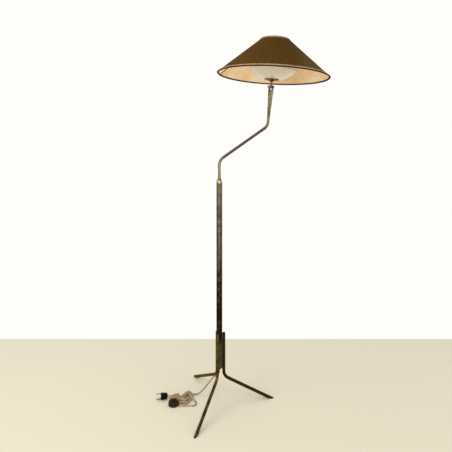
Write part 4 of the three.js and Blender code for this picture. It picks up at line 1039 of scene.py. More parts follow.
class LAMP_OT_legs(bpy.types.Operator):
    """Add the three bent legs with their domed tops and rubber feet"""

    bl_idname = "lamp.legs"
    bl_label = "Legs"

    def execute(self, context):
        sizes, finishes = millimetres(context.scene.lamp_stand), context.scene.lamp_finishes
        radius, wall, slope = sizes.leg / 2, 1.2, sizes.leg_slope
        ring = sizes.column / 2 + 0.3 + radius  # from the column's axis to a leg's
        sole = sizes.leg_reach - radius / np.sin(slope)  # where the leg's axis meets the floor
        corner = np.array((ring, 0, (sole - ring) * np.tan(slope)))
        top = np.array((ring, 0, sizes.column_foot + 145))
        splay = np.array((np.cos(slope), 0, -np.sin(slope)))
        end = corner + splay * (sole - ring) / np.cos(slope)
        line, heads = bent_line([top, corner, end], sizes.leg_bend, 24)
        cover = np.radians(np.linspace(0, 82, 9))[1:]
        above = top + np.outer(3.2 * np.cos(cover), (0, 0, 1))
        outer, _ = rings(
            np.concatenate([top[None] + (0, 0, 3.2), above, line[:-1]]),
            np.concatenate([np.tile((0, 0, -1.0), (9, 1)), heads[:-1]]),
            np.concatenate([[0], radius * np.sin(cover), np.full(len(line) - 1, radius)]), 40, (0, 1, 0),
        )

        def ends(size, height, back=0):
            """A section of the splayed part: cut level at a height, or square and set back from the end."""
            section, _ = rings(end[None] - back * splay, splay[None], size, 40, (0, 1, 0))
            if height is None:
                return section
            return section + ((height - section[..., 2]) / splay[2])[..., None] * splay

        def closed(section):
            return np.broadcast_to(section[:, :-1].mean(1, keepdims=True), section.shape)

        within = ends(radius - wall, None, 40)
        cut = [ends(radius, 1.9), ends(radius - 0.2, 1.7), ends(radius - wall, 1.7)]
        leg = np.concatenate([outer, *cut, within, closed(within)])
        low, inner = radius - 0.35, radius - wall - 0.3
        stem = ends(inner, None, 29)
        foot = np.concatenate([
            closed(ends(low, 0)), ends(low, 0), ends(radius, 0.4), ends(radius, 1.2), ends(low, 1.4),
            ends(inner, 1.4), stem, closed(stem),
        ])
        brass = metal(
            "old brass of the legs", finishes.legs, shown(54, 38, 15), 0.8, 0.26, 0.5, leg_tarnish, PATINA
        )
        rubber = moulded("foot rubber", shown(34, 30, 26), 0.75)
        for name in ("right", "back", "front"):
            turn = STAND @ Matrix.Rotation(getattr(sizes, name), 4, "Z")
            mounted(surface(f"{name}_leg", placed(leg, turn)), "stand", brass, "leg_brass", f"leg_{name}")
            made = surface(f"{name}_foot", placed(foot, turn))
            mounted(made, "stand", rubber, "dark_rubber", f"foot_plug_{name}")
        return {"FINISHED"}


# ------------------------------------------------------------------ arm, fork and pivot

SIDEWAYS = Matrix.Rotation(np.radians(90), 4, "Y")  # turns a piece drawn up Z so that it points along +X


class LAMP_OT_arm(bpy.types.Operator):
    """Add the cranked arm with the ring and the washer that it turns on"""

    bl_idname = "lamp.arm"
    bl_label = "Arm"

    def execute(self, context):
        sizes, finishes = millimetres(context.scene.lamp_arm), context.scene.lamp_finishes
        column_top = millimetres(context.scene.lamp_stand).column_top
        radius, lean = sizes.tube / 2, np.radians(5)
        lower = np.array((0, 0, column_top + sizes.lower_rise))
        upper = lower + (sizes.run, 0, sizes.run * np.tan(sizes.slope))
        fork_foot = upper + sizes.upper_rise * np.array((np.sin(lean), 0, np.cos(lean)))
        line, heads = bent_line([(0, 0, sizes.foot), lower, upper, fork_foot], sizes.bend, 24)
        around = [rings(line, heads, size, 48, (0, 1, 0))[0] for size in (radius, radius - 1)]
        wall = np.concatenate([around[0], around[1][::-1], around[0][:1]])

        def unrubbed(tree):
            """Darker tarnish colour on the slanted run between the bends."""
            height = tree.parts(tree.place())[2]
            low, high = lower[2] / 1000, upper[2] / 1000
            above = tree.ranged(height, low - 0.01, low + 0.02, 0, 0.9)
            return above * tree.ranged(height, high - 0.02, high + 0.02, 1, 0)

        brass = metal("rubbed brass", finishes.arm, shown(80, 76, 62), 0.4, 0.2, 0.46, unrubbed, PATINA)
        mounted(surface("bent_arm", placed(wall, STAND)), "arm", brass, "aged_brass", "arm_tube")

        low, bore = column_top + 14.3, radius + 0.3
        fibre = moulded("fibre washer", shown(96, 64, 40), 0.7)
        washer = sleeve(bore, bore + 1.7, low, low + 0.8)
        mounted(turned("arm_washer", washer, STAND, ease=0.12), "arm", fibre, "fibre", "swivel_washer")
        low += 1.1
        ring = [
            (bore, low), (bore + 2.4, low), (bore + 2.4, low + 2.1), (bore + 1.4, low + 3.85),
            (bore + 1.4, low + 5.95), (bore + 0.6, low + 7), (bore, low + 7),
        ]
        mounted(turned("arm_ring", ring, STAND, ease=0.4), "arm", brass, "aged_brass", "swivel_ring")
        steel = metal("steel in the column", shown(150, 148, 142), shown(96, 84, 70), 0.4, 0.3, 0.5)
        kept("retaining_ring", steel)
        return {"FINISHED"}


class LAMP_OT_fork(bpy.types.Operator):
    """Add the slotted fork with its pivot screw, cap nut and friction washers"""

    bl_idname = "lamp.fork"
    bl_label = "Fork and pivot"

    def execute(self, context):
        sizes, finishes = millimetres(context.scene.lamp_arm), context.scene.lamp_finishes
        wide, thin = sizes.fork_top / 2, sizes.tube / 2
        foot = 6.3 - sizes.fork
        cone = [
            (3.1, foot - 18), (thin - 1.3, foot - 18), (thin - 1.3, foot), (thin, foot),
            (thin + 0.2, foot + 6), ((wide + thin) / 2, foot + 0.5 * sizes.fork),
            (wide - 0.5, foot + 0.85 * sizes.fork), (wide, 2), (wide - 0.2, 4.8), (wide - 1.4, 6), (3.1, 6),
        ]
        fork = turned("slim_fork", cone, HEAD, 96, 0.5)
        seat = wide - 1.5
        cutters = [block((8.8, 60, 20), (0, 0, -2), HEAD), drill(2.8, -30, 30, HEAD @ SIDEWAYS)]
        cutters += [block((12, 12, 12), (side * (seat + 6), 0, 0), HEAD) for side in (1, -1)]
        brass = metal("fork brass", finishes.arm, shown(78, 64, 38), 1.1, 0.2, 0.42, None, PATINA)
        mounted(carved(fork, cutters), "arm", brass, "aged_brass", "fork")

        steel = metal("old screw brass", shown(176, 164, 132), shown(88, 74, 48), 0.6, 0.25, 0.5)
        under = seat + 0.3
        screw = [
            (0, -under - 3), (2.2, -under - 3), (2.5, -under - 2.7), (2.5, under), (4.5, under),
            (4.5, under + 1.7), (3.6, under + 2.8), (0, under + 2.8),
        ]
        slot = block((2.4, 12, 1.2), (under + 2.8, 0, 0), HEAD)
        made = carved(turned("tilt_screw", screw, HEAD @ SIDEWAYS, 64, 0.3), [slot])
        mounted(made, "arm", steel, "aged_brass", "pivot_screw")
        outward = HEAD @ Matrix.Rotation(np.pi, 4, "Z") @ SIDEWAYS @ Matrix.Translation((0, 0, under / 1000))
        cap = [
            (0, 3.4), (2.8, 3.4), (2.8, 0), (3.55, 0), (3.8, 0.15), (4, 0.5), (4, 3.1), (3.8, 3.45),
            (3.5, 3.6), *arc(0, 3.1, 3.2, 9.5, 90, 12),
        ]
        made = turned("cap_nut", cap, outward, 72, 0, hexagon(8 * np.cos(np.pi / 6)))
        mounted(made, "arm", steel, "aged_brass", "pivot_nut")
        fibre = moulded("friction fibre", shown(88, 58, 38), 0.7)
        for name, side in (("right", 0), ("left", np.pi)):
            turn = HEAD @ Matrix.Rotation(side, 4, "Z") @ SIDEWAYS
            made = turned(f"{name}_washer", sleeve(2.8, 6.2, 3.3, 4.1), turn, ease=0.12)
            mounted(made, "arm", fibre, "fibre", f"friction_washer_{name}")
        return {"FINISHED"}


# ------------------------------------------------------------------ head


def plate(name, outline, thick, matrix):
    """A flat plate from an outline of (x, y) points in millimetres, with rounded edges, centred on z = 0.

    Each row of the grid is the outline drawn towards its middle by a share and lifted to a height. The share
    is 1 at the middle of a face, and falls to 0 on a quarter round at the edge.
    """
    p, edge = np.asarray(outline, float), 0.5
    middle = (p.max(0) + p.min(0)) / 2
    size = np.linalg.norm(p - middle, axis=1).mean()
    turn = np.radians(np.linspace(0, 90, 5))
    inward = edge * (1 - np.sin(turn)) / size
    height = thick / 2 - edge + edge * np.cos(turn)
    share = np.concatenate([[1], inward, inward[::-1], [1]])
    level = np.concatenate([[thick / 2], height, -height[::-1], [-thick / 2]])
    flat = p[None] + (middle - p)[None] * share[:, None, None]
    grid = np.concatenate([flat, np.broadcast_to(level[:, None, None], (*flat.shape[:2], 1))], -1)
    return surface(name, placed(grid, matrix))


def opal_glass(finishes):
    """Milky glass that light enters a little, faintly clouded, with a smooth skin."""
    made, tree, shader = material(
        "opal glass", Roughness=0.16, Subsurface_Weight=0.25, Subsurface_Radius=(0.01, 0.009, 0.007),
        Subsurface_Scale=0.6, Coat_Weight=0.25, Coat_Roughness=0.08,
    )
    cream = shown(224, 207, 174)
    out = effect(tree, clouds, color=finishes.opal, other=cream, size=14.0, grain=240.0, strength=0.55)
    broad = out["broad"]
    skinned(tree, shader, out["color"], broad, 0.0002, tree.ranged(broad, 0, 1, 0.14, 0.24), 0.5)
    return made


def pearl_glass():
    """Frosted glass of the bulbs."""
    made, tree, shader = material(
        "pearl glass", Roughness=0.25, Transmission_Weight=0.35, IOR=1.45, Subsurface_Weight=0.1
    )
    white, cream = shown(248, 243, 232), shown(236, 226, 206)
    out = effect(tree, clouds, color=white, other=cream, size=30.0, grain=500.0, strength=0.5)
    skinned(tree, shader, out["color"], out["height"], 0.00005)
    return made


class LAMP_OT_stem(bpy.types.Operator):
    """Add the knuckle, the stem and the glass bowl with what holds it"""

    bl_idname = "lamp.stem"
    bl_label = "Stem and bowl"

    def execute(self, context):
        sizes, finishes = millimetres(context.scene.lamp_shade), context.scene.lamp_finishes
        brass = metal("stem brass", finishes.arm, shown(104, 86, 52), 0.5, 0.2, 0.42)
        lean = np.arcsin(1.5 / 13.2)
        eye = [(7 * np.cos(a), 7 * np.sin(a)) for a in np.linspace(np.pi - lean, 2 * np.pi + lean, 49)]
        outline = [*eye, (5.5, 13.7), (2, 13.7), (-2, 13.7), (-5.5, 13.7), eye[0]]
        flat = HEAD @ Matrix.Rotation(np.radians(90), 4, "Z") @ Matrix.Rotation(np.radians(90), 4, "X")
        tongue = carved(plate("tongue", outline, 6, flat), [drill(2.85, -9, 9, HEAD @ SIDEWAYS)])
        shoulder = [
            (4.3, 12.9), (4.9, 12.9), (6, 14), (6, 15.2), (5.7, 15.45), (6, 15.7), (6, 16.5), (5, 17.5),
            (4.3, 17.5),
        ]
        made = joined("stem_knuckle", [tongue, turned("shoulder", shoulder, HEAD, ease=0.3)])
        mounted(made, "head", brass, "aged_brass", "knuckle")
        made = turned("stem_tube", sleeve(2.5, 4, 12.8, 213.3), HEAD, 48)
        mounted(made, "head", brass, "aged_brass", "stem")

        s = np.linspace(0, 1, 22)
        flare = np.stack([5.3 + 26.2 * s**2, 20.8 + 9 * s], -1)
        over = flare[::-1] + (-0.35, 1)
        dish = [(4.3, 20.8), *flare, *over, (4.3, 21.8)]
        warm = metal("dish brass", shown(128, 106, 72), shown(94, 70, 40), 0.55, 0.2, 0.42, None, PATINA)
        mounted(turned("bowl_dish", dish, HEAD, 96, 0.15), "head", warm, "aged_brass", "dish")

        half, deep, wall = sizes.bowl / 2, sizes.bowl_depth, 3
        sphere = (half**2 + deep**2) / (2 * deep)
        low = 29.3

        def cap(radius):
            return low + sphere - np.sqrt(sphere**2 - radius**2)

        felt = [(25.5, cap(25.5) - 1.4), (31.5, 31.2), (31.5, cap(31.5) - 0.4), (25.5, cap(25.5) - 0.3)]
        grey = moulded("felt ring", shown(58, 52, 44), 0.9)
        mounted(turned("felt_ring", felt, HEAD, 96, 0.2), "head", grey, "dark_rubber", "bowl_felt")

        edge, start, inner_start = (
            np.degrees(np.arcsin(share)) for share in (half / sphere, 6 / sphere, 6 / (sphere - wall))
        )
        middle = sphere - wall / 2
        lip_at = (middle * np.sin(np.radians(edge)), low + sphere - middle * np.cos(np.radians(edge)))
        glass = [
            *arc(0, low + sphere, sphere, start - 90, edge - 90, 40),
            *arc(*lip_at, wall / 2, edge - 75, edge + 75, 10),
            *arc(0, low + sphere, sphere - wall, edge - 90, inner_start - 90, 40),
        ]
        made = turned("opal_bowl", glass, HEAD, 160, 0)
        mounted(made, "head", opal_glass(finishes), "opal_glass", "glass_bowl")

        rubber = moulded("clamp rubber", shown(40, 34, 30), 0.75)
        made = turned("clamp_disc", sleeve(4.3, 15, 33.71, 35.31), HEAD, ease=0.3)
        mounted(made, "head", rubber, "dark_rubber", "clamp_rubber")
        nut_shape = hexagon(13)

        def flanged(radius, height, turn):
            return np.where(height > 37.015, nut_shape(radius, height, turn), radius)

        shape = [
            (4.3, 35.61), (12.7, 35.61), (13, 35.9), (13, 36.7), (12.7, 37.01), (7.5, 37.01), (7.5, 37.02),
            (7.5, 40.1), (7.2, 40.4), (6.4, 40.61), (4.3, 40.61),
        ]
        mounted(turned("bowl_nut", shape, HEAD, 72, 0, flanged), "head", brass, "aged_brass", "clamp_nut")
        return {"FINISHED"}


WING_TOP = Matrix.Translation((0.0199586, 0, 0.0941437))  # the middle of a wing's upper face
WING_SPLAY = Matrix.Rotation(np.radians(40), 4, "Y")


def wing(side):
    """The frame of a lampholder: its origin on a wing of the bracket, its Z the holder's axis."""
    return HEAD @ Matrix.Rotation(0 if side > 0 else np.pi, 4, "Z") @ WING_TOP @ WING_SPLAY


class LAMP_OT_holders(bpy.types.Operator):
    """Add the bracket with its nuts, the two lampholders and their bulbs"""

    bl_idname = "lamp.holders"
    bl_label = "Lampholders and bulbs"

    def execute(self, context):
        ball = millimetres(context.scene.lamp_shade).bulb / 2
        steel = metal("zinc-plated steel", shown(168, 164, 154), shown(104, 92, 76), 0.45, 0.3, 0.55)
        brass = metal("nut brass", shown(190, 168, 116), shown(104, 84, 48), 0.5, 0.25, 0.5)
        black = moulded("lampholder moulding", context.scene.lamp_finishes.plug, 0.3, 0.15)
        strap = bevelled(refined("bent_strap", "holder_bracket"))
        mounted(strap, "head", steel, "steel", "holder_bracket")
        for name, low in (("lower", 96.2), ("upper", 102.8)):
            made = nut(f"{name}_strap_nut", 13, 8.6, low, low + 4.4, HEAD)
            mounted(made, "head", brass, "aged_brass", f"bracket_nut_{name}")

        def fluted(radius, height, turn):
            """Grips round the holder's middle: 28 shallow flutes that fade out at both ends."""
            fade = np.clip((height - 14.6) / 0.8, 0, 1) * np.clip((31.8 - height) / 0.8, 0, 1)
            return radius - 0.38 * fade * (0.5 + 0.5 * np.cos(28 * turn))

        holder = [
            (0, -4.9), (4.6, -4.9), (4.8, -4.7), (4.8, 0.3), (6.5, 0.3), (9.8, 4), (10, 4.6), (10.6, 12),
            (11.4, 12.9), (12, 13.4), (12, 14.6), (12, 15.4), (12, 31), (12, 31.8), (12, 33), (12.4, 33.5),
            (13, 34.1), (13, 36.2), (12.7, 36.5), (13, 36.8), (13, 38.6), (12.7, 38.9), (13, 39.2),
            (13, 41.3), (12.8, 42), (12.2, 42.3), (10, 42.3), (9.5, 41.9), (9.5, 20.3), (0, 20.3),
        ]
        neck = np.degrees(np.arcsin(8.1 / ball))
        bulb = [
            (0, 20.9), (4, 20.9), (5, 22.6), (6.9, 24.3), (6.9, 26), (6.5, 26.8), (6.9, 27.6), (6.5, 29),
            (6.9, 30.2), (6.5, 31.6), (6.9, 32.8), (6.9, 41.3), (7.1, 42.3), (7.5, 43.3),
            *arc(0, 73.3, ball, neck - 90, 90, 40),
        ]
        pearl = pearl_glass()
        for side, name in ((1, "right"), (-1, "left")):
            at = wing(side)
            made = turned(f"{name}_holder", holder, at, 168, 0.12, fluted)
            mounted(made, "head", black, "black_bakelite", f"lampholder_{name}")
            made = nut(f"{name}_holder_nut", 13, 10.2, -4.9, -1.9, at)
            mounted(made, "head", steel, "steel", f"holder_nut_{name}")
            made = turned(f"{name}_bulb", bulb, at, 96, 0.2)
            mounted(made, "head", pearl, "bulb_glass", f"bulb_{name}")
        return {"FINISHED"}


# ------------------------------------------------------------------ shade


class Cone:
    """The shade's cone in the frame of the head, in millimetres."""

    def __init__(self, sizes):
        self.rim, self.base = sizes.rim / 2, sizes.above_pivot
        run = (sizes.rim - sizes.top) / 2
        self.slope, self.slant = np.arctan2(sizes.height, run), float(np.hypot(run, sizes.height))
        self.ring = self.at(self.slant - RING_AT[0], RING_AT[1])  # (radius, height) of the top ring
        self.hub = self.ring[1] - 3  # height of the spider's hub
        askew = Matrix.Rotation(sizes.lean, 4, "Y") @ Matrix.Rotation(sizes.back, 4, "X")
        middle = Matrix.Translation((0, 0, self.hub / 1000))
        self.seat = middle @ askew @ middle.inverted()  # the hub stays true on the stem, the rest hangs askew

    def at(self, up, depth):
        """(radius, height) of the point that lies so far up the slope and so deep inside the outer face."""
        c, s = np.cos(self.slope), np.sin(self.slope)
        return self.rim - up * c - depth * s, self.base + up * s - depth * c

    def cut(self, low, high):
        """The side of the square of cloth and the area that a cone between two slants is cut from, in metres.

        Laid flat it is part of a ring, of outer radius rim / cos(slope) less the low slant, that takes up
        cos(slope) of a full turn. That is more than half a turn, so its square is two radii wide.
        """
        outer, inner = ((self.rim / np.cos(self.slope) - up) / 1000 for up in (low, high))
        return float(2 * outer), float(np.pi * (outer**2 - inner**2) * np.cos(self.slope))


SEAM = np.radians(164)  # heading of the shade's seam, on the left and a little to the back
CLOTH_RADIUS = 0.15  # metres: the shade's mean radius, which its maps are measured round
RING_AT = 1.5, 0.9  # how far below the upper edge, and inside the outer face, the top ring's middle lies


def spun(name, cone, profile, sides=320, lap=None):
    """A closed profile of (up, depth) points carried round the cone, starting at the seam.

    UV is in metres: round the shade at its mean radius, and along the profile. lap gives how much prouder
    each point stands at an angle past the seam, as where cloth is doubled.
    """
    p = eased(np.asarray([*profile, profile[0]], float), 0.3)
    turn = np.linspace(0, 2 * np.pi, sides + 1)
    depth = np.broadcast_to(p[:, 1, None], (len(p), sides + 1))
    if lap is not None:
        depth = depth - lap(depth, turn[None])
    radius, height = cone.at(p[:, 0, None], depth)
    angle = turn + SEAM
    points = np.stack([radius * np.cos(angle), radius * np.sin(angle), height], -1)
    uv = np.stack(np.broadcast_arrays(turn[None] * CLOTH_RADIUS, travelled(p)[:, None] / 1000), -1)
    return surface(name, placed(points, HEAD @ cone.seat), uv)


def trim(cone, sizes, finishes):
    """The braids, folded over the rim wire and over the top ring."""
    slant = cone.slant
    rim = [
        (-1.3, 1), (-1.2, -1.5), (-0.7, -2), (sizes.braid, -1.2), (sizes.braid, -0.3), (-0.3, -1.3),
        (-0.3, 3.1), (6, 2.1), (6, 3), (-0.9, 3.9), (-1.2, 3.3),
    ]
    top = [
        (slant + 1.2, -1), (slant + 1.2, -1.4), (slant + 0.8, -1.9), (slant - 8, -1.2), (slant - 8, -0.3),
        (slant + 0.3, -1.3), (slant + 0.3, 0.9), (slant + 1.2, 0.9),
    ]
    made = dress_braid(finishes)
    mounted(spun("rim_trim", cone, rim), "head", made, "braid", "rim_braid")
    mounted(spun("top_trim", cone, top), "head", made, "braid", "top_braid")


def spider(cone):
    """The top ring with three spokes to the hub, the nut under it and the finial over it."""
    steel = metal("wire of the shade", shown(150, 144, 130), shown(92, 74, 52), 0.5, 0.3, 0.55)
    brass = metal("spider nut brass", shown(186, 164, 112), shown(100, 80, 46), 0.5, 0.25, 0.5)
    bright = metal("finial brass", shown(222, 202, 156), shown(136, 108, 62), 0.35, 0.15, 0.36)
    kept("rim_wire", steel)
    (reach, high), hub = cone.ring, cone.hub
    ring = turned("ring", arc(reach, high, 1.5, 0, 360, 20)[:-1], HEAD @ cone.seat, 160, 0)
    flat = turned("hub", sleeve(4.3, 10, hub - 1.2, hub + 1.2), HEAD)
    spokes = []
    for heading in (90, 210, 330):
        turn = Matrix.Rotation(np.radians(heading), 4, "Z")
        drawn = ((8, hub), (reach - 8, hub), (reach - 0.8, high - 0.8))
        start, bend, end = (turn @ Vector((x / 1000, 0, z / 1000)) for x, z in drawn)
        corners = [HEAD @ start, HEAD @ cone.seat @ bend, HEAD @ cone.seat @ end]
        line, heads = bent_line(corners, 0.008, 10)
        spokes.append(along_line("spoke", line, heads, 0.0015, 20, HEAD.to_3x3() @ Vector((0, 0, 1))))
    mounted(joined("wire_spider", [ring, flat, *spokes]), "head", steel, "steel", "shade_spider")
    made = nut("hub_nut", 13, 8.6, hub - 5.9, hub - 1.5, HEAD)
    mounted(made, "head", brass, "aged_brass", "spider_nut")
    low = hub + 1.5
    finial = [
        (0, 213.6), (4.3, 213.6), (4.3, low), (6.6, low), (7, low + 0.5), (7, low + 1.8), (6.2, low + 2.3),
        (5.5, low + 3.2), (5.2, low + 5), (5.2, low + 11), (5.4, low + 12.6), (6.1, low + 13.3),
        (6.1, low + 13.9), (5.4, low + 14.6), *arc(0, low + 19, 6, -32, 90, 20),
    ]
    mounted(turned("knob", finial, HEAD, 64, 0.2), "head", bright, "bright_brass", "finial")


class LAMP_OT_shade(bpy.types.Operator):
    """Add the cone shade: cloth, lining, braids, wires, spider and finial"""

    bl_idname = "lamp.shade"
    bl_label = "Shade"

    def execute(self, context):
        sizes, finishes = millimetres(context.scene.lamp_shade), context.scene.lamp_finishes
        cone = Cone(sizes)
        stops = np.linspace(3.3, cone.slant - 3.3, 9)

        def lap(depth, turn):
            """Where the cloth's ends are sewn one over the other, 6 mm of it stands 0.35 mm proud outside."""
            return np.where((turn < 0.04) & (depth < 0.4), 0.35, 0.0)

        def layer(outer, inner):
            return [*[(up, outer) for up in stops], *[(up, inner) for up in stops[::-1]]]

        cloth = spun("shade_cloth", cone, layer(0, 0.8), 480, lap)
        mounted(cloth, "head", shade_cloth(finishes), "shade_cloth", "shade_cover")
        lining = spun("shade_parchment", cone, layer(1.1, 1.8))
        mounted(lining, "head", parchment(finishes), "shade_parchment", "shade_lining")
        trim(cone, sizes, finishes)
        spider(cone)
        side, area = cone.cut(stops[0], stops[-1])
        return {"FINISHED"}


def shade_cloth(finishes):
    """Ribbed cloth, red-brown on the left, with a painted sheen that greys it on the right, and a dark line
    along the edge of its lapped seam.
    """
    made, tree, shader = material("ribbed shade cloth", Roughness=0.95, Specular_IOR_Level=0.02)
    where = tree.place()
    x = tree.parts(where)[0]
    drift = tree.noise(tree.stretched(where, (5, 5, 5)), 1, 3, 0.5)
    warm = tree.clamped(tree.ranged(x, 0.06, -0.16) * 0.8 + tree.ranged(drift, 0.35, 0.7, 0, 0.35))
    base = tree.mixed(warm, finishes.cover, shown(116, 80, 34))
    # painted sheen: the cloth is mixed towards grey on the right, where light falls on it
    base = tree.mixed(tree.ranged(x, 0.12, 0.28, 0, 0.75), base, shown(130, 118, 88))
    out = effect(tree, threads, color=base, deep=shown(42, 28, 8), rib=0.0011, thread=0.0007, slub=0.55)
    u = tree.parts(tree.cloth())[0]
    # a dark line along the edge of the lapped seam
    seam_edge_line = (u > 0.0052) * (u < 0.0066)
    base = tree.mixed(seam_edge_line * 0.6, out["color"], shown(40, 24, 10))
    skinned(tree, shader, base, out["height"], 0.00035)
    return made


def parchment(finishes):
    """Stiffened paper: warm clouds, darker fibres, painted shade that browns it on the right, and brown tape
    over the seam.
    """
    made, tree, shader = material("parchment", Roughness=0.75, Specular_IOR_Level=0.2)
    out = effect(
        tree, clouds, color=finishes.lining, other=shown(230, 178, 118), size=13.0, grain=420.0, strength=0.5
    )
    cloth = tree.cloth()
    fibre = tree.ranged(tree.noise(tree.stretched(cloth, (260, 900, 1)), 1, 4, 0.7), 0.62, 0.72)
    base = tree.mixed(fibre * 0.3, out["color"], shown(176, 122, 68))
    x = tree.parts(tree.place())[0]
    # painted shade: the lining is mixed browner on the right, where less light falls on its inside
    painted_shade_rising = tree.ranged(x, PIVOT.x, PIVOT.x + 0.1, 0, 0.4)
    painted_shade_falling = tree.ranged(x, PIVOT.x + 0.13, PIVOT.x + 0.2, 0.4, 0.1)
    base = tree.mixed(tree.maths("MINIMUM", painted_shade_rising, painted_shade_falling), base, shown(190, 142, 92))
    taped = tree.parts(cloth)[0] < 0.009
    base = tree.mixed(taped * 0.9, base, shown(92, 54, 22))
    skinned(tree, shader, base, out["height"] + taped, 0.0001)
    return made


def dress_braid(finishes):
    """Plaited braid: light on its face, dusty along the top, with painted shade on its inside and where it is
    folded over an edge.
    """
    made, tree, shader = material("dress braid", Roughness=0.9, Specular_IOR_Level=0.05)
    around, every = 2 * np.pi * CLOTH_RADIUS, 4.0
    strand = around / (every * round(around / 0.0021 / every))  # a whole number of them goes round
    brown = shown(96, 70, 38)
    out = effect(tree, plait, color=finishes.braid, second=brown, strand=strand, every=every, worn=0.55)
    where = tree.place()
    patch = tree.ranged(tree.noise(where, 24, 4, 0.6), 0.45, 0.68, 0, 0.5)
    base = tree.mixed(patch, out["color"], shown(112, 84, 50))
    # along the profile the rim braid's folded edge is the first 4 mm and the last few, and 34 mm on it is
    # inside; painted shade darkens both
    along = tree.parts(tree.cloth())[1]
    along = along + tree.ranged(tree.noise(where, 160, 3, 0.6), 0.3, 0.7, -0.0006, 0.0006)
    fold_painted_shade = tree.maths("MAXIMUM", tree.ranged(along, 0.0042, 0.0032), tree.ranged(along, 0.0395, 0.0405))
    # painted shade on the inside of the braid
    base = tree.mixed(tree.ranged(along, 0.033, 0.035, 0, 0.92), base, shown(70, 48, 26))
    top = PIVOT.z + 0.19  # where dust starts, just under the top braid
    dust = tree.ranged(tree.parts(where)[2], top, top + 0.006, 0, 0.5)
    base = tree.mixed(dust, base, shown(160, 152, 134))
    # painted shade where the braid is folded over an edge
    base = tree.mixed(fold_painted_shade * 0.93, base, shown(44, 23, 3))
    skinned(tree, shader, base, out["height"], 0.0004)
    return made


# ------------------------------------------------------------------ foot switch and plug


def nozzle_frame(name):
    """The frame of a flex nozzle on the switch: Z points out along it, from the switch's middle."""
    return switch_frame(NOZZLE_HEIGHT) @ Matrix.Rotation(np.radians(NOZZLES[name]), 4, "Z") @ SIDEWAYS


class LAMP_OT_switch(bpy.types.Operator):
    """Add the foot switch on the flex"""

    bl_idname = "lamp.switch"
    bl_label = "Foot switch"

    def execute(self, context):
        sizes, finishes = millimetres(context.scene.lamp_flex), context.scene.lamp_finishes
        at, edge = switch_frame(), sizes.switch / 2
        brown = moulded("brown moulding", finishes.switch, 0.32, 0.1)
        button = moulded("button moulding", shown(30, 20, 9), 0.36, 0.08)
        olive = moulded("olive moulding", shown(58, 48, 25), 0.4, 0.1)
        tray = [
            (0, 0.1), (edge - 1.8, 0.1), (edge - 0.6, 0.5), (edge, 1.6), (edge, 6.8), (edge - 0.3, 7),
            (edge - 2.2, 7), (edge - 2.2, 2.5), (0, 2.5),
        ]
        spout = [
            (0, 18), (4.5, 18), (4.5, 23), (4.2, 23.3), (4.2, 23.9), (4.5, 24.2), (4.4, 25), (3.9, 25.5),
            (2.9, 25.5), (2.7, 25), (2.7, 22.5), (0, 22.5),
        ]
        spouts = [turned("spout", spout, nozzle_frame(name), 40, 0.15) for name in NOZZLES]
        base = joined("foot_switch_base", [turned("tray", tray, at, 96, 0.2), *spouts])
        mounted(base, "stand", olive, "brown_bakelite", "switch_base")

        hole = 9.85
        dome = [
            (edge - 2.2, 7.3), (edge - 0.2, 7.3), (edge, 7.6), (edge, 9.6), (edge - 0.5, 10.1),
            (edge - 0.35, 11.3), (edge - 0.9, 13.4), (edge - 1.8, 15.4), (edge - 3, 16.8), (edge - 5, 18.6),
            (edge - 7.5, 19.8), (hole + 3.2, 20.7), (hole + 2.2, 21), (hole + 0.8, 20.9), (hole, 20.4),
            (hole, 18.4), (edge - 8.5, 17.4), (edge - 4.8, 15), (edge - 2.2, 10.3),
        ]
        cutters = [drill(4.8, 10, 30, nozzle_frame(name), 48) for name in NOZZLES]
        cover = carved(turned("foot_switch_cover", dome, at, 128, 0.35), cutters)
        mounted(cover, "stand", brown, "brown_bakelite", "switch_cover")
        press = [
            (0, 16.3), (10.5, 16.3), (10.5, 17.9), (9.5, 17.9), (9.5, 22.6), (9, 23.4), (7.9, 24),
            (6.2, 24.2), (5.6, 24.05), (4.7, 24.3), (0, 24.4),
        ]
        made = turned("foot_switch_button", press, at, 96, 0.3)
        mounted(made, "switch_button", button, "black_bakelite", "switch_button")
        wire = metal("spring wire", shown(160, 158, 150), shown(90, 80, 66), 0.3, 0.3, 0.5)
        spring = mounted(refined("button_spring", "switch_spring"), "stand", wire, "steel", "switch_spring")
        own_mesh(spring)
        return {"FINISHED"}


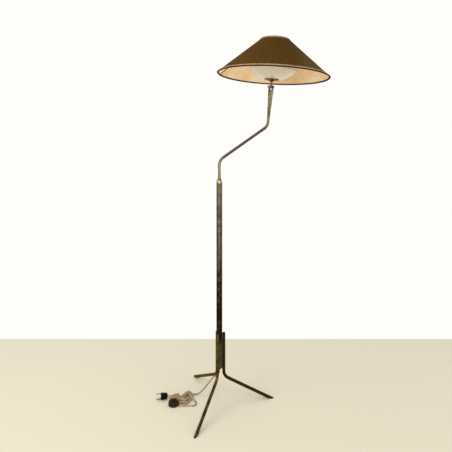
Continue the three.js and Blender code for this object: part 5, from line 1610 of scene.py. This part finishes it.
class LAMP_OT_plug(bpy.types.Operator):
    """Add the two-pin plug"""

    bl_idname = "lamp.plug"
    bl_label = "Plug"

    def execute(self, context):
        sizes, finishes = millimetres(context.scene.lamp_flex), context.scene.lamp_finishes
        middle = Matrix.Translation([v / 1000 for v in PLUG_AT])
        level = STAND @ middle @ Matrix.Rotation(PLUG_HEADING, 4, "Z")
        at = level @ SIDEWAYS
        wide, half = sizes.plug / 2, 15
        body = [
            (0, -half), (wide - 1.4, -half), (wide - 0.3, 0.5 - half), (wide, 1.4 - half),
            (wide, 9.5 - half), (wide - 0.7, 12 - half), (wide - 0.9, 17 - half), (wide - 0.9, half - 8),
            (wide - 1.6, half - 5.5), (wide - 3.2, half - 3.2), (wide - 5.6, half - 1.6), (6, half - 0.7),
            (4.2, half), (2.9, half), (2.7, half - 0.5), (2.7, half - 4), (0, half - 4),
        ]

        def gripped(radius, height, turn):
            """Finger grips round the waist: 24 shallow flutes."""
            fade = np.clip((height + half - 11) / 3, 0, 1) * np.clip((half - 7 - height) / 3, 0, 1)
            return radius - 0.3 * fade * (0.5 + 0.5 * np.cos(24 * turn))

        roll = np.radians(65)
        pins = [(0, side * 9.5 * np.cos(roll), side * 9.5 * np.sin(roll)) for side in (1, -1)]
        places = [level @ Matrix.Translation(Vector(offset) / 1000) @ SIDEWAYS for offset in pins]
        cutters = [drill(2.3, -17, -9, place, 32) for place in places]
        black = moulded("plug moulding", finishes.plug, 0.4, 0.06)
        made = carved(turned("plug_moulding", body, at, 144, 0.35, gripped), cutters)
        mounted(made, "stand", black, "black_bakelite", "plug_body")
        nickel = metal("dull pins", shown(124, 116, 102), shown(58, 50, 40), 0.5, 0.3, 0.5, None, PATINA)
        pin = [
            (0, -34), (0.7, -34), (1.2, -33.8), (1.8, -33), (2, -32.2), (2, -12), (1.8, -9.8), (0, -9.6),
        ]
        for name, node, place in (("high", "upper", places[0]), ("low", "lower", places[1])):
            made = turned(f"plug_pin_{name}", pin, place, 32, 0.2)
            mounted(made, "stand", nickel, "steel", f"plug_pin_{node}")
        return {"FINISHED"}


# ------------------------------------------------------------------ panel and running


class LAMP_PT_panel(bpy.types.Panel):
    """Buttons that build the lamp, piece by piece"""

    bl_idname = "LAMP_PT_panel"
    bl_label = "Tripod floor lamp"
    bl_space_type = "VIEW_3D"
    bl_region_type = "UI"
    bl_category = "Lamp"

    def draw(self, context):
        for group in GROUPS:
            for name in GROUPS[group].__annotations__:
                self.layout.prop(getattr(context.scene, group), name)
        for operator in OPERATORS:
            self.layout.operator(operator.bl_idname)


GROUPS = {
    "lamp_stand": StandSizes,
    "lamp_arm": ArmSizes,
    "lamp_shade": ShadeSizes,
    "lamp_flex": FlexSizes,
    "lamp_finishes": Finishes,
}
OPERATORS = (
    LAMP_OT_stage, LAMP_OT_switch, LAMP_OT_plug, LAMP_OT_flex, LAMP_OT_column, LAMP_OT_legs, LAMP_OT_arm,
    LAMP_OT_fork, LAMP_OT_stem, LAMP_OT_holders, LAMP_OT_shade,
)


def register():
    for made in (*GROUPS.values(), *OPERATORS, LAMP_PT_panel):
        bpy.utils.register_class(made)
    for name, group in GROUPS.items():
        setattr(bpy.types.Scene, name, bpy.props.PointerProperty(type=group))


def unregister():
    for name in GROUPS:
        delattr(bpy.types.Scene, name)
    for made in (LAMP_PT_panel, *reversed(OPERATORS), *reversed(GROUPS.values())):
        bpy.utils.unregister_class(made)


def main():
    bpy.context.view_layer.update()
    register()
    for operator in OPERATORS:
        group, name = operator.bl_idname.split(".")
        getattr(getattr(bpy.ops, group), name)()


if __name__ == "__main__":
    main()
